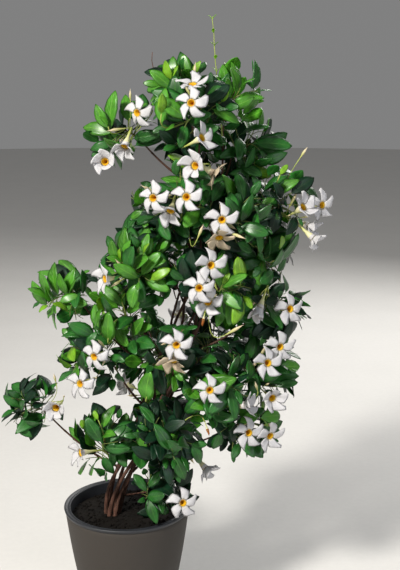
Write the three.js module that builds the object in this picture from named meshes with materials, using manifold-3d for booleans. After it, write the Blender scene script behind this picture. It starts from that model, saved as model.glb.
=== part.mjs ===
// A white-flowered mandevilla, a twining evergreen shrub, growing in a tapered patio planter.
// Millimetres, +Z up. The origin is the centre of the planter's flat underside; the plant's front faces -Y.
// Woody stems climb out of the soil, wind round each other and carry boughs. Each mass of foliage is one
// solid: twigs, leaves and blooms grow from a stem by a seeded rule and keep to their share of the crown.

import * as THREE from "three";
import { mergeVertices } from "three/addons/utils/BufferGeometryUtils.js";
import Module from "manifold-3d";

const wasm = await Module();
wasm.setup();

// Driving sizes
const GAP = 0.3; // clearance between pieces that rest on each other
const ROUND = 30; // facets round the planter
const PLANTER = { height: 272, topRadius: 147, baseRadius: 97, belly: 5, wall: 4, floor: 6, foot: 3 };
const INSERT = { top: 280, radius: 150, wall: 3, floorZ: 44, floor: 4, play: 3 };
const LIP = { depth: 7.7, width: 15 }; // the insert's flat rim
const SOIL = { top: 252, dome: 6, level: 60 };
const WALL_HEIGHTS = [150, SOIL.top]; // where the insert's wall and the soil's side bend

// Stems wind round a column from the soil to height windTo: foot out from its line at first, then spread.
const STEMS = { radius: 4.3, tip: 2.1, flare: 1.35, flared: 0.08, spare: 15, sides: 5, steps: 12 };
const WINDING = { turns: 0.9, windTo: 1196, foot: 13, spread: 34, spreadBy: 0.4, bulge: 8 };
const BOW = { aside: 10, height: 170 }; // above the soil the stems bow aside before they lean
const STEM_TOPS = [930, 1150, 780, 1010, 1196, 1105];
const COLUMN = { x: [-36, 190], y: [-8, 12], straight: 1000 }; // leans to the right up to height straight
const BOUGH = { radius: 2.9, tip: 1.8, sides: 4, steps: 5, sag: 0.27, short: 0.45, below: 0.3 };
const SHOOT = { radius: 2.4, tip: 1.9, sides: 4, steps: 3, ahead: 0.4 }; // a mass's own stem
const TWIG = { radius: 1.6, tip: 1.3, sides: 3, steps: 1, covered: 0.4, length: [0.55, 0.76] };
const LEAF = { length: [72, 98], width: 0.47, arch: 0.05, droop: 0.14, rise: 0.12 };

// A leaf's outline anticlockwise from its root: shares of its length, of half its width and of its droop.
const EDGE = [[0.32, 0.9, 0.05], [0.7, 0.8, 0.45]];
const OUTLINE = [[0, 0, 0], ...EDGE, [1, 0, 1], ...EDGE.map(([u, v, w]) => [u, -v, w]).reverse()];
const CREST = { at: 0.48, drop: 0.2 }; // highest point of the arched midrib
const JOINTS = [
  { at: 0.4, scale: 1, splay: 1.25 },
  { at: 0.7, scale: 0.95, splay: 1.15 },
  { at: 0.96, scale: 0.85, splay: 0.95 },
];
const FACING = { twig: 0.6, up: 0.5, front: 0.15 }; // where a leaf's upper side turns
const SWAY = { turn: 0.8, pair: 0.9, splay: 0.4, leaf: 0.5, bloom: 0.7 }; // how far a draw turns each

const BLOOM = { radius: 38, notch: 14, throat: 7.5, throatDepth: 14, tube: 46, stalk: 1.2, depth: 4 };
const COLLAR = { wider: 1.5, back: 8 }; // behind the petals, where the tube begins
const PETAL = [[-0.3, 0.84, 3], [0.28, 1, -3]]; // outer corners: angle, share of the radius, height
const TO_LIGHT = { front: 1.1, behind: 60 }; // blooms this side of behind also turn to the light in front
const LEADER = { radius: 1.5, tip: 0.9, sides: 3, steps: 3, sag: 0.1, from: 1128, top: [199, 16, 1402] };
const LEADER_LEAVES = { length: 13, pairs: 4, above: 0.6, rise: 1.2 };
const LAST_LEAF = 0.97; // where a shoot bears its last pair

// Masses of foliage: heart (mm), reach (mm), height where its shoot or bough leaves the stems.
// bough: true puts a bough between the stems and the mass; tipOf: k seats the mass on the tip of stem k.
const MASSES = [
  { name: "top_left", heart: [126, -35, 1252], reach: 85, tipOf: 4 },
  { name: "top_right", heart: [250, 5, 1245], reach: 85, tipOf: 1 },
  { name: "upper_left", heart: [8, -50, 1166], reach: 92, from: 1040, bough: true },
  { name: "crown_front", heart: [160, -95, 1205], reach: 105, tipOf: 5 },
  { name: "crown_back", heart: [165, 115, 1160], reach: 115, from: 1060, bough: true },
  { name: "right_shoulder", heart: [285, 30, 1125], reach: 95, from: 1030, bough: true },
  { name: "upper_front", heart: [120, -105, 1022], reach: 108, tipOf: 0 },
  { name: "upper_right_front", heart: [243, -100, 985], reach: 105, from: 900 },
  { name: "upper_right", heart: [345, -5, 998], reach: 100, from: 900, bough: true },
  { name: "upper_back", heart: [235, 125, 1010], reach: 115, tipOf: 3 },
  { name: "inner_left", heart: [62, 30, 975], reach: 92, from: 900, bough: true },
  { name: "middle_left", heart: [40, -80, 868], reach: 105, from: 800 },
  { name: "middle_front", heart: [205, -115, 842], reach: 108, tipOf: 2 },
  { name: "middle_right", heart: [320, -15, 885], reach: 105, from: 790, bough: true },
  { name: "middle_back", heart: [250, 130, 850], reach: 115, from: 740, bough: true },
  { name: "left_back", heart: [72, 115, 865], reach: 112, from: 760, bough: true },
  { name: "far_left", heart: [-132, -30, 800], reach: 90, from: 610, bough: true },
  { name: "right_side", heart: [335, -10, 765], reach: 105, from: 650, bough: true },
  { name: "left_middle", heart: [-5, -60, 759], reach: 88, from: 665, bough: true },
  { name: "left_low_front", heart: [-68, -65, 672], reach: 105, from: 530, bough: true },
  { name: "low_front", heart: [92, -95, 690], reach: 108, from: 610 },
  { name: "low_middle", heart: [208, -105, 615], reach: 105, from: 560 },
  { name: "low_right", heart: [310, -20, 620], reach: 105, from: 500, bough: true },
  { name: "low_back_left", heart: [55, 115, 640], reach: 115, from: 560, bough: true },
  { name: "low_back", heart: [205, 125, 650], reach: 115, from: 560, bough: true },
  { name: "far_low_left", heart: [-215, -20, 532], reach: 84, from: 380, bough: true },
  { name: "right_skirt", heart: [272, -35, 500], reach: 105, from: 420, bough: true },
  { name: "left_skirt", heart: [-48, -50, 458], reach: 100, from: 360 },
  { name: "front_skirt", heart: [95, -95, 478], reach: 105, from: 400 },
  { name: "back_skirt", heart: [90, 110, 450], reach: 110, from: 350, bough: true },
  { name: "foot", heart: [88, -70, 345], reach: 90, from: 300 },
];
const GROWTH = { twigs: 12, order: 5, leaves: 9, fewest: 2, firstFoot: 0.4, back: -0.5, ahead: 0.95 };
const TRIED = [1, 0.74]; // a leaf's sizes: where the first finds no room it grows as the second
const CLEAR = { cell: 1, leaf: 2, twig: 2, crest: 14, planter: 4 }; // room kept from what is next to it
const STALK_CLEAR = 0.35; // share of a bloom's stalk that leaves and twigs may touch
const CHECKED = { leader: 6, stem: 28, bough: 8, shoot: 6 }; // lengths of limb that foliage keeps clear of

// Blooms (mm): each one grows from the mass whose heart is nearest, and some are turned away from the light.
const BLOOMS = [
  { at: [42, -110, 1203] }, { at: [-28, -95, 1100], facing: [-0.1, -1, 0.1] },
  { at: [155, -175, 1226] }, { at: [177, -172, 1156], facing: [0.7, -0.55, 0.4] },
  { at: [163, -168, 1099], facing: [-0.5, -0.85, 0] },
  { at: [200, -150, 1082], facing: [0.8, -0.1, -0.5] }, { at: [77, -185, 1035] },
  { at: [145, -192, 1038] }, { at: [218, -185, 990] },
  { at: [-28, -150, 858], facing: [-0.8, -0.6, 0] },
  { at: [396, -70, 1000], facing: [0.5, -0.5, 0.4] },
  { at: [442, -30, 999], facing: [0.6, -0.8, 0.1] },
  { at: [422, -45, 928], facing: [0.7, -0.3, -0.6] },
  { at: [196, -195, 897], facing: [0.35, -0.9, 0.1] }, { at: [171, -205, 851] },
  { at: [303, -110, 785], facing: [-0.3, -0.6, -0.7] }, { at: [371, -85, 777] },
  { at: [-55, -150, 687] }, { at: [-90, -125, 618] },
  { at: [-149, -95, 552], facing: [-0.2, -1, 0] }, { at: [123, -185, 723] },
  { at: [194, -190, 625] }, { at: [349, -105, 696] },
  { at: [271, -150, 578], facing: [0.9, -0.35, 0.2] }, { at: [333, -110, 580] },
  { at: [281, -130, 506] }, { at: [330, -105, 489] },
  { at: [-96, -95, 445], facing: [-0.8, -0.6, 0.1] }, { at: [135, -140, 344] },
  { at: [185, -60, 394], facing: [0.6, -0.4, -0.6] }, { at: [210, 215, 1120] },
  { at: [40, 190, 930] }, { at: [290, 225, 800] }, { at: [120, 215, 690] },
  { at: [-10, 175, 520] },
];

// Where one sees past or through the crown from the front: x and z at which the line of sight crosses
// y = 0, and the opening's radius (mm).
const EYE = [173, -2218, 1301];
const GAPS = [
  [-23, 995, 45], [54, 1086, 33], [114, 749, 30], [374, 1208, 52], [406, 847, 45], [44, 1328, 37],
  [208, 1344, 26], [320, 333, 57], [-209, 659, 46], [-157, 409, 42], [-92, 916, 52],
  [-99, 1268, 48],
];

const UP = new THREE.Vector3(0, 0, 1);
const FRONT = new THREE.Vector3(0, -1, 0);
const vector = (p) => new THREE.Vector3(...p);
const lerp = THREE.MathUtils.lerp;
const clamp01 = (t) => Math.min(1, Math.max(0, t));
const smooth = (t) => t * t * (3 - 2 * t);

// A seeded draw between 0 and 1 that gives the same row of numbers for the same seed.
function draws(seed) {
  let state = seed;
  return () => {
    state = (state * 16807) % 2147483647;
    return state / 2147483647;
  };
}

// Half a wave over the stems' bowed feet: 0 at the soil and at the bow's upper end, 1 between.
const bowAt = (z) => Math.sin(Math.PI * clamp01((z - SOIL.top) / BOW.height));

// Point of the line that the stems climb: it leans to the right as it rises.
function columnAt(z) {
  const t = clamp01((z - SOIL.top) / (COLUMN.straight - SOIL.top));
  const lean = 0.5 * (1 - (1 - t) ** 2) + 0.5 * smooth(t);
  return new THREE.Vector3(lerp(...COLUMN.x, lean) - BOW.aside * bowAt(z), lerp(...COLUMN.y, lean), z);
}

// One stem: it rises from the soil and winds round the column, k sixths of a turn from the first.
class StemCurve extends THREE.Curve {
  constructor(k, top) {
    super();
    this.k = k;
    this.top = top;
  }
  atHeight(z) {
    const share = (z - SOIL.top) / (WINDING.windTo - SOIL.top);
    const angle = 2 * Math.PI * (this.k / STEM_TOPS.length + WINDING.turns * share);
    const bulge = WINDING.bulge * (0.5 + 0.5 * Math.cos(2 * this.k)) * bowAt(z);
    const out = lerp(WINDING.foot, WINDING.spread, smooth(clamp01(share / WINDING.spreadBy))) + bulge;
    return columnAt(z).add(new THREE.Vector3(out * Math.cos(angle), out * Math.sin(angle), 0));
  }
  getPoint(t) {
    return this.atHeight(lerp(SOIL.top + SOIL.dome + GAP, this.top, t));
  }
}

const stemRadius = (t) => {
  const flare = 1 + (STEMS.flare - 1) * Math.max(0, 1 - t / STEMS.flared);
  return lerp(STEMS.radius, STEMS.tip, t) * flare;
};
const taper = (size) => (t) => lerp(size.radius, size.tip, t);

// A closed solid from shared points and the triangles between them.
function polyhedron(points, triangles) {
  const geometry = new THREE.BufferGeometry();
  geometry.setAttribute("position", new THREE.Float32BufferAttribute(points.flatMap((p) => p.toArray()), 3));
  geometry.setIndex(triangles.flat());
  return geometry;
}

// The corners of a limb's ring, square to its curve at step i.
function ringAt(curve, frames, i, size, radius) {
  return Array.from({ length: size.sides }, (_, j) => {
    const angle = (2 * Math.PI * j) / size.sides;
    const side = frames.normals[i].clone().multiplyScalar(Math.cos(angle));
    side.addScaledVector(frames.binormals[i], Math.sin(angle));
    return curve.getPointAt(i / size.steps).addScaledVector(side, radius);
  });
}

// A tapering limb along a curve: a ring of corners at each step, joined in bands, and a cap at each end.
// A level foot has its first ring laid flat, as a stem is cut at ground level.
function limb(curve, size, radiusAt = taper(size), levelFoot = false) {
  const { steps, sides } = size;
  const frames = curve.computeFrenetFrames(steps, false);
  const points = [];
  const triangles = [];
  for (let i = 0; i <= steps; i++) points.push(...ringAt(curve, frames, i, size, radiusAt(i / steps)));
  if (levelFoot) points.slice(0, sides).forEach((corner) => corner.setZ(curve.getPointAt(0).z));
  for (let i = 0; i < steps; i++) {
    for (let j = 0; j < sides; j++) {
      const a = i * sides + j;
      const b = i * sides + ((j + 1) % sides);
      triangles.push([a, b, a + sides], [b, b + sides, a + sides]);
    }
  }
  const last = steps * sides;
  for (let j = 1; j < sides - 1; j++) triangles.push([0, j + 1, j], [last, last + j, last + j + 1]);
  return polyhedron(points, triangles);
}

function toSolid(geometry) {
  const bare = geometry.clone();
  bare.deleteAttribute("normal");
  bare.deleteAttribute("uv");
  const merged = mergeVertices(bare, 1e-4);
  const vertProperties = merged.getAttribute("position").array;
  const triVerts = new Uint32Array(merged.index.array);
  return new wasm.Manifold(new wasm.Mesh({ numProp: 3, vertProperties, triVerts }));
}

function toGeometry(solid) {
  const mesh = solid.getMesh();
  const geometry = new THREE.BufferGeometry();
  geometry.setAttribute("position", new THREE.BufferAttribute(mesh.vertProperties, 3));
  geometry.setIndex(new THREE.BufferAttribute(mesh.triVerts, 1));
  geometry.computeVertexNormals();
  return geometry;
}

// Shapes fused into one body; a loose scrap is dropped and a sealed hollow is filled.
function fuse(geometries) {
  const joined = geometries.map(toSolid).reduce((whole, piece) => whole.add(piece));
  const bodies = joined.decompose().sort((a, b) => b.volume() - a.volume());
  return toGeometry(bodies[0]);
}

// Frame with its first axis along direction and its third as near to facing as it can be.
function frameOf(direction, facing) {
  const along = direction.clone().normalize();
  let across = new THREE.Vector3().crossVectors(facing, along);
  if (across.length() < 0.05) across = new THREE.Vector3().crossVectors(new THREE.Vector3(1, 0.3, 0), along);
  across.normalize();
  return { along, across, face: new THREE.Vector3().crossVectors(along, across) };
}

function place(origin, { along, across, face }, u, v, w) {
  return origin.clone().addScaledVector(along, u).addScaledVector(across, v).addScaledVector(face, w);
}

// A leaf: its root, its outline anticlockwise from there, and the crest of its arched midrib.
function leafPoints({ root, direction, facing, length }) {
  const frame = frameOf(direction, facing);
  const half = (LEAF.width * length) / 2;
  const drop = LEAF.droop * length;
  const outline = OUTLINE.map(([u, v, w]) => place(root, frame, u * length, v * half, -w * drop));
  return [...outline, place(root, frame, CREST.at * length, 0, LEAF.arch * length - CREST.drop * drop)];
}

const LEAF_TOP = [[0, 6, 1], [1, 6, 2], [2, 6, 3], [3, 6, 4], [4, 6, 5], [5, 6, 0]];
const LEAF_UNDER = [[0, 1, 5], [1, 2, 4], [1, 4, 5], [2, 3, 4]];
const CREST_CORNER = 6;
const LEAF_RIBS = [[0, 1], [1, 2], [2, 3], [3, 4], [4, 5], [0, 5], [0, 6], [6, 3]];

const leafGeometry = (leaf) => polyhedron(leafPoints(leaf), [...LEAF_TOP, ...LEAF_UNDER]);

// The place of a bloom's corner: angle and radius about its axis, depth along it.
const onBloom = ({ centre, frame }, angle, radius, depth) =>
  place(centre, frame, depth, radius * Math.cos(angle), radius * Math.sin(angle));

const FIFTH = (2 * Math.PI) / 5;
const GOLDEN_ANGLE = Math.PI * (3 - Math.sqrt(5));

// A bloom on its stalk: a narrow tube that widens to a sunken throat, and five petals whose outer corners
// are skewed like a pinwheel. Rings of five corners run from the stalk's foot to the petals' backs.
function bloomGeometry(bloom) {
  const points = [];
  for (let petal = 0; petal < 5; petal++) {
    const middle = FIFTH * petal;
    points.push(onBloom(bloom, middle - FIFTH / 2, BLOOM.notch, 0));
    for (const [turn, share, height] of PETAL) {
      points.push(onBloom(bloom, middle + turn, BLOOM.radius * share, height));
    }
  }
  const tube = [[BLOOM.throat, -1], [BLOOM.throat + COLLAR.wider, -COLLAR.back], [BLOOM.stalk, -BLOOM.tube]];
  for (const [radius, depth] of tube) {
    for (let i = 0; i < 5; i++) points.push(onBloom(bloom, FIFTH * i, radius, depth));
  }
  const stalk = frameOf(bloom.tubeEnd.clone().sub(bloom.foot), bloom.frame.face);
  for (let i = 0; i < 5; i++) {
    const [v, w] = [BLOOM.stalk * Math.cos(FIFTH * i), BLOOM.stalk * Math.sin(FIFTH * i)];
    points.push(place(bloom.foot, stalk, 0, v, w));
  }
  points.push(onBloom(bloom, 0, 0, -BLOOM.throatDepth));
  const [throat, collar, foot, bottom] = [15, 20, 30, 35];
  const triangles = [];
  for (let i = 0; i < 5; i++) {
    const next = (i + 1) % 5;
    const edge = [3 * i, 3 * i + 1, 3 * i + 2, 3 * next];
    for (let k = 0; k < 3; k++) {
      triangles.push([edge[k], edge[k + 1], throat + i], [edge[k + 1], edge[k], collar + i]);
    }
    triangles.push([throat + i, edge[3], throat + next], [edge[3], collar + i, collar + next]);
    triangles.push([throat + i, throat + next, bottom]);
    for (let ring = collar; ring < foot; ring += 5) {
      const [a, b, c, d] = [ring + i, ring + next, ring + 5 + i, ring + 5 + next];
      triangles.push([b, a, c], [b, c, d]);
    }
  }
  for (let i = 1; i < 4; i++) triangles.push([foot, foot + i + 1, foot + i]);
  return polyhedron(points, triangles);
}

// What foliage keeps clear of: straight lengths of limb with their radius and the mass they belong to.
function lengthsOf(curve, radiusAt, steps, owner) {
  const points = curve.getSpacedPoints(steps);
  return points.slice(1).map((end, i) => {
    return { line: new THREE.Line3(points[i], end), radius: radiusAt((i + 0.5) / steps), owner };
  });
}

const touches = (line, limb, margin) => line.distanceSqToLine3(limb.line) < (limb.radius + margin) ** 2;

// Whether a line comes near a bloom's open face or passes through it.
function meetsBloom(line, bloom, margin) {
  const [start, end] = [line.start, line.end].map((point) => point.clone().sub(bloom.centre));
  const [a, b] = [start, end].map((offset) => offset.dot(bloom.frame.along));
  const shares = [0, 0.5, 1, ...(a * b < 0 ? [a / (a - b)] : [])];
  return shares.some((share) => {
    const offset = start.clone().lerp(end, share);
    const height = lerp(a, b, share);
    const radial = Math.sqrt(Math.max(0, offset.lengthSq() - height * height));
    return radial < BLOOM.radius + margin && Math.abs(height) < BLOOM.depth + margin;
  });
}

const masses = MASSES.map((mass, index) => {
  return { ...mass, heart: vector(mass.heart), draw: draws(1000 + 77 * index) };
});

// How far along a shoot a twig leaves it: the further ahead the twig points, the nearer the shoot's end.
function footShare(ahead) {
  const forward = clamp01((ahead - GROWTH.back) / (GROWTH.ahead - GROWTH.back));
  return lerp(GROWTH.firstFoot, 1, forward);
}

// How far a point lies inside a mass's own share of the crown: nearer to its heart than to any other.
function roomInside(mass, point) {
  let room = Infinity;
  for (const other of masses) {
    if (other === mass) continue;
    const away = other.heart.clone().sub(mass.heart);
    const middle = other.heart.clone().add(mass.heart).multiplyScalar(0.5);
    room = Math.min(room, middle.sub(point).dot(away) / away.length());
  }
  return room;
}

function massNearest(point) {
  return masses.reduce((a, b) => (point.distanceTo(a.heart) < point.distanceTo(b.heart) ? a : b));
}

// Above the planter's rim, or over the soil inside it.
function overPlanter(point) {
  const overSoil = Math.hypot(point.x, point.y) < INSERT.radius - 2 * LIP.width;
  return point.z > (overSoil ? SOIL.top + SOIL.dome : INSERT.top) + CLEAR.planter;
}

const stems = STEM_TOPS.map((top, k) => {
  const curve = new StemCurve(k, top);
  return { name: `stem_${k + 1}`, top, curve, body: new THREE.Mesh(limb(curve, STEMS, stemRadius, true)) };
});

// Where a side limb leaves the stems at height z towards goal: on the stem furthest out that way.
function sideFoot(z, goal, radius) {
  const outward = goal.clone().sub(columnAt(z)).setZ(0).normalize();
  const reachOut = (stem) => stem.curve.atHeight(z).sub(columnAt(z)).dot(outward);
  const able = stems.filter((stem) => stem.top > z + STEMS.spare);
  const stem = able.reduce((a, b) => (reachOut(a) > reachOut(b) ? a : b));
  const foot = stem.curve.atHeight(z);
  const along = stem.curve.atHeight(z + 1).sub(foot).normalize();
  const away = goal.clone().sub(foot);
  away.addScaledVector(along, -away.dot(along)).normalize();
  return { stem, away, foot: foot.addScaledVector(away, 2 * STEMS.radius + radius) };
}

// The edges of a solid's faces.
function edgesOf(geometry) {
  const corner = (i) => new THREE.Vector3().fromBufferAttribute(geometry.getAttribute("position"), i);
  const { array } = geometry.index;
  const next = (i) => (i % 3 === 2 ? i - 2 : i + 1);
  return Array.from(array, (a, i) => new THREE.Line3(corner(a), corner(array[next(i)])));
}

// How far one line slides along back before it meets another, or nothing where it passes it by.
function slideToMeet(line, other, back) {
  const [u, v] = [line, other].map((each) => each.delta(new THREE.Vector3()));
  const system = new THREE.Matrix3().set(u.x, back.x, -v.x, u.y, back.y, -v.y, u.z, back.z, -v.z);
  if (Math.abs(system.determinant()) < 1e-9) return [];
  const shares = other.start.clone().sub(line.start).applyMatrix3(system.invert());
  return [shares.x, shares.z].every((share) => share >= 0 && share <= 1) ? [shares.y] : [];
}

// A limb's end slides back towards its stem until the two lie a gap apart; shape draws it from its foot.
function seatOnStem(z, goal, size, shape) {
  const { stem, away, foot } = sideFoot(z, goal, size.radius);
  const curve = shape(foot);
  const ring = ringAt(curve, curve.computeFrenetFrames(size.steps, false), 0, size, size.radius);
  const rim = ring.map((corner, j) => new THREE.Line3(corner, ring[(j + 1) % ring.length]));
  const back = away.clone().negate();
  const hits = ring.flatMap((corner) => new THREE.Raycaster(corner, back).intersectObject(stem.body));
  const edges = edgesOf(stem.body.geometry);
  const meetings = rim.flatMap((line) => edges.flatMap((edge) => slideToMeet(line, edge, back)));
  const slack = Math.min(...hits.map((hit) => hit.distance), ...meetings.filter((distance) => distance > 0));
  return shape(foot.clone().addScaledVector(back, slack - GAP));
}

// A limb from foot to tip that sets off along its first direction and then bends to its tip.
function bentCurve(foot, tip, lift) {
  const middle = foot.clone().lerp(tip, 0.5);
  middle.z += lift * foot.distanceTo(tip) * 0.5;
  return new THREE.QuadraticBezierCurve3(foot, middle, tip);
}

// A shoot that sets off from foot along heading and bends to the heart of its mass.
function shootCurve(foot, heading, heart) {
  const middle = foot.clone().addScaledVector(heading, SHOOT.ahead * foot.distanceTo(heart));
  return new THREE.QuadraticBezierCurve3(foot, middle, heart);
}

// The bough that carries a mass: it ends below the heart, on the side of the stems.
function boughCurve(mass) {
  const inward = columnAt(mass.heart.z).sub(mass.heart).setZ(0).normalize();
  const tip = mass.heart.clone().addScaledVector(inward, BOUGH.short * mass.reach);
  tip.z -= BOUGH.below * mass.reach;
  return seatOnStem(mass.from, tip, BOUGH, (foot) => bentCurve(foot, tip, -BOUGH.sag));
}

// A shoot that goes on from the tip of a stem or bough, a gap clear.
function shootFromTip(curve, heart) {
  const heading = curve.getTangent(1);
  return shootCurve(curve.getPoint(1).addScaledVector(heading, GAP), heading, heart);
}

const boughs = [];
for (const mass of masses) {
  if (mass.tipOf !== undefined) {
    mass.shoot = shootFromTip(stems[mass.tipOf].curve, mass.heart);
  } else if (mass.bough) {
    boughs.push({ name: `${mass.name}_bough`, curve: boughCurve(mass) });
    mass.shoot = shootFromTip(boughs.at(-1).curve, mass.heart);
  } else {
    mass.shoot = seatOnStem(mass.from, mass.heart, SHOOT, (foot) => bentCurve(foot, mass.heart, 0));
  }
}

const leaderTop = vector(LEADER.top);
const leader = seatOnStem(LEADER.from, leaderTop, LEADER, (foot) => bentCurve(foot, leaderTop, -LEADER.sag));

const leaderReach = (t) => (t < LEADER_LEAVES.above ? LEADER.radius : LEADER_LEAVES.length);
const obstacles = [
  ...lengthsOf(leader, leaderReach, CHECKED.leader),
  ...stems.flatMap(({ curve }) => lengthsOf(curve, stemRadius, CHECKED.stem)),
  ...boughs.flatMap(({ curve }) => lengthsOf(curve, taper(BOUGH), CHECKED.bough)),
  ...masses.flatMap((mass) => lengthsOf(mass.shoot, taper(SHOOT), CHECKED.shoot, mass)),
];

// Blooms face out of the crown; those that are not behind it also turn to the light in front.
const blooms = BLOOMS.map((bloom, index) => {
  const draw = draws(5000 + 31 * index);
  const centre = vector(bloom.at);
  const mass = massNearest(centre);
  const facing = centre.clone().sub(columnAt(centre.z)).setZ(0).normalize();
  if (centre.y < TO_LIGHT.behind) facing.addScaledVector(FRONT, TO_LIGHT.front);
  const sway = new THREE.Vector3(draw() - 0.5, draw() - 0.5, draw() - 0.3);
  facing.addScaledVector(sway, SWAY.bloom);
  if (bloom.facing) facing.set(...bloom.facing);
  facing.normalize();
  const tubeEnd = centre.clone().addScaledVector(facing, -BLOOM.tube);
  const toBloom = tubeEnd.clone().sub(mass.heart).normalize();
  const foot = mass.shoot.getPoint(footShare(toBloom.dot(mass.shoot.getTangent(1))));
  return { centre, frame: frameOf(facing, UP), mass, tubeEnd, foot };
});
for (const { centre, tubeEnd, foot } of blooms) {
  const clearFoot = foot.clone().lerp(tubeEnd, STALK_CLEAR);
  obstacles.push({ line: new THREE.Line3(centre, tubeEnd), radius: BLOOM.depth });
  obstacles.push({ line: new THREE.Line3(clearFoot, tubeEnd), radius: BLOOM.stalk });
}

const sights = GAPS.map(([x, z, radius]) => {
  const eye = vector(EYE);
  return { ray: new THREE.Ray(eye, vector([x, 0, z]).sub(eye).normalize()), radius };
});
const inGap = (point) => sights.some(({ ray, radius }) => ray.distanceToPoint(point) < radius);

// Whether a twig or leaf keeps to its mass's space and stays a margin clear of limbs and blooms.
function fits(mass, points, lines, margin) {
  const near = (point) => point.distanceTo(mass.heart) < mass.reach && roomInside(mass, point) > CLEAR.cell;
  if (!points.every((point) => near(point) && overPlanter(point) && !inGap(point))) return false;
  const others = obstacles.filter((obstacle) => obstacle.owner !== mass);
  if (lines.some((line) => others.some((other) => touches(line, other, margin)))) return false;
  return !lines.some((line) => blooms.some((bloom) => meetsBloom(line, bloom, margin)));
}

const ribsOf = (corners) => LEAF_RIBS.map(([a, b]) => new THREE.Line3(corners[a], corners[b]));

// Whether a line passes through a leaf.
function pierces(line, corners) {
  const ray = new THREE.Ray(line.start, line.delta(new THREE.Vector3()).normalize());
  return LEAF_TOP.some(([a, b, c]) => {
    const hit = ray.intersectTriangle(corners[a], corners[b], corners[c], false, new THREE.Vector3());
    return hit && hit.distanceTo(line.start) < line.distance();
  });
}

// Two leaves of different joints cross, or lie almost on each other.
function leavesClash(a, b) {
  if (a[CREST_CORNER].distanceTo(b[CREST_CORNER]) < CLEAR.crest) return true;
  return ribsOf(a).some((rib) => pierces(rib, b)) || ribsOf(b).some((rib) => pierces(rib, a));
}

// The leaves of one twig: opposite pairs, each a quarter turn from the last, that face out along the twig.
function leavesOf(twig, draw) {
  const tangent = twig.getTangent(0);
  const { across, face } = frameOf(tangent, UP);
  return JOINTS.flatMap(({ at, scale, splay }, joint) => {
    const turn = joint * (Math.PI / 2) + (draw() - 0.5) * SWAY.pair;
    const side = across.clone().multiplyScalar(Math.cos(turn)).addScaledVector(face, Math.sin(turn));
    return [1, -1].map((sign) => {
      const length = lerp(...LEAF.length, draw()) * scale;
      const angle = splay + (draw() - 0.5) * SWAY.splay;
      const direction = tangent.clone().multiplyScalar(Math.cos(angle));
      direction.addScaledVector(side, sign * Math.sin(angle)).addScaledVector(UP, LEAF.rise);
      const facing = tangent.clone().multiplyScalar(FACING.twig);
      facing.addScaledVector(UP, FACING.up).addScaledVector(FRONT, FACING.front);
      facing.addScaledVector(new THREE.Vector3(draw() - 0.5, draw() - 0.5, draw() - 0.5), SWAY.leaf);
      return { root: twig.getPoint(at), direction, facing, length, joint };
    });
  });
}

// The twig at one of the places round a mass's shoot, with the leaves it would carry.
function twigAt(mass, slot) {
  const ahead = lerp(GROWTH.back, GROWTH.ahead, (slot + 0.5) / GROWTH.twigs);
  const turn = slot * GOLDEN_ANGLE + mass.draw() * SWAY.turn;
  const { along, across, face } = frameOf(mass.shoot.getTangent(1), UP);
  const sideways = Math.sqrt(1 - ahead * ahead);
  const direction = along.multiplyScalar(ahead).addScaledVector(across, sideways * Math.cos(turn));
  direction.addScaledVector(face, sideways * Math.sin(turn));
  const length = mass.reach * lerp(...TWIG.length, mass.draw());
  const tip = mass.heart.clone().addScaledVector(direction, length);
  const twig = new THREE.LineCurve3(mass.shoot.getPoint(footShare(ahead)), tip);
  return { twig, leaves: leavesOf(twig, mass.draw) };
}

// A leaf as it can grow: full size or smaller, or not at all where both sizes find no room.
function roomFor(mass, leaf, lines, others) {
  for (const scale of TRIED) {
    const grown = { ...leaf, length: leaf.length * scale };
    const corners = leafPoints(grown);
    if (!fits(mass, corners.slice(1), ribsOf(corners), CLEAR.leaf)) continue;
    if (lines.some((line) => pierces(line, corners))) continue;
    if (!others.some((other) => leavesClash(corners, other))) return { grown, corners };
  }
  return null;
}

// The leaves of a twig that find room, where leaves of one joint may touch at their roots.
function leavesWithRoom(mass, leaves, lines, kept) {
  const grown = [];
  for (const leaf of leaves) {
    const others = [...kept, ...grown.filter((g) => g.joint !== leaf.joint).map((g) => g.corners)];
    const room = roomFor(mass, leaf, lines, others);
    if (room) grown.push({ ...room, joint: leaf.joint });
  }
  return grown;
}

// Everything that grows on one mass: its shoot, the twigs that fit its space, their leaves, and its blooms.
function growMass(mass) {
  const itsBlooms = blooms.filter((bloom) => bloom.mass === mass);
  const shapes = [limb(mass.shoot, SHOOT), ...itsBlooms.map(bloomGeometry)];
  const lines = obstacles.map(({ line }) => line);
  const kept = [];
  for (let i = 0; i < GROWTH.twigs && kept.length < GROWTH.leaves; i++) {
    const { twig, leaves } = twigAt(mass, (i * GROWTH.order) % GROWTH.twigs);
    const free = new THREE.Line3(twig.getPoint(TWIG.covered), twig.v2);
    const middle = free.getCenter(new THREE.Vector3());
    if (!fits(mass, [free.start, middle, free.end], [free], CLEAR.twig)) continue;
    if (kept.some((corners) => pierces(free, corners))) continue;
    const grown = leavesWithRoom(mass, leaves, lines, kept);
    if (grown.length < GROWTH.fewest) continue;
    shapes.push(limb(twig, TWIG), ...grown.map((g) => leafGeometry(g.grown)));
    kept.push(...grown.map((g) => g.corners));
    lines.push(free);
  }
  return fuse(shapes);
}

// The thin shoot that stands above the crown, feeling for something to climb, with a few half-open leaves.
function leaderGeometry() {
  const shapes = [limb(leader, LEADER)];
  const { length, pairs, above, rise } = LEADER_LEAVES;
  for (let i = 0; i < pairs; i++) {
    const t = lerp(above, LAST_LEAF, i / (pairs - 1));
    for (const sign of [1, -1]) {
      const turn = (i * Math.PI) / 2;
      const direction = new THREE.Vector3(sign * Math.cos(turn), sign * Math.sin(turn), rise);
      shapes.push(leafGeometry({ root: leader.getPoint(t), direction, facing: UP, length }));
    }
  }
  return fuse(shapes);
}

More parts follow.
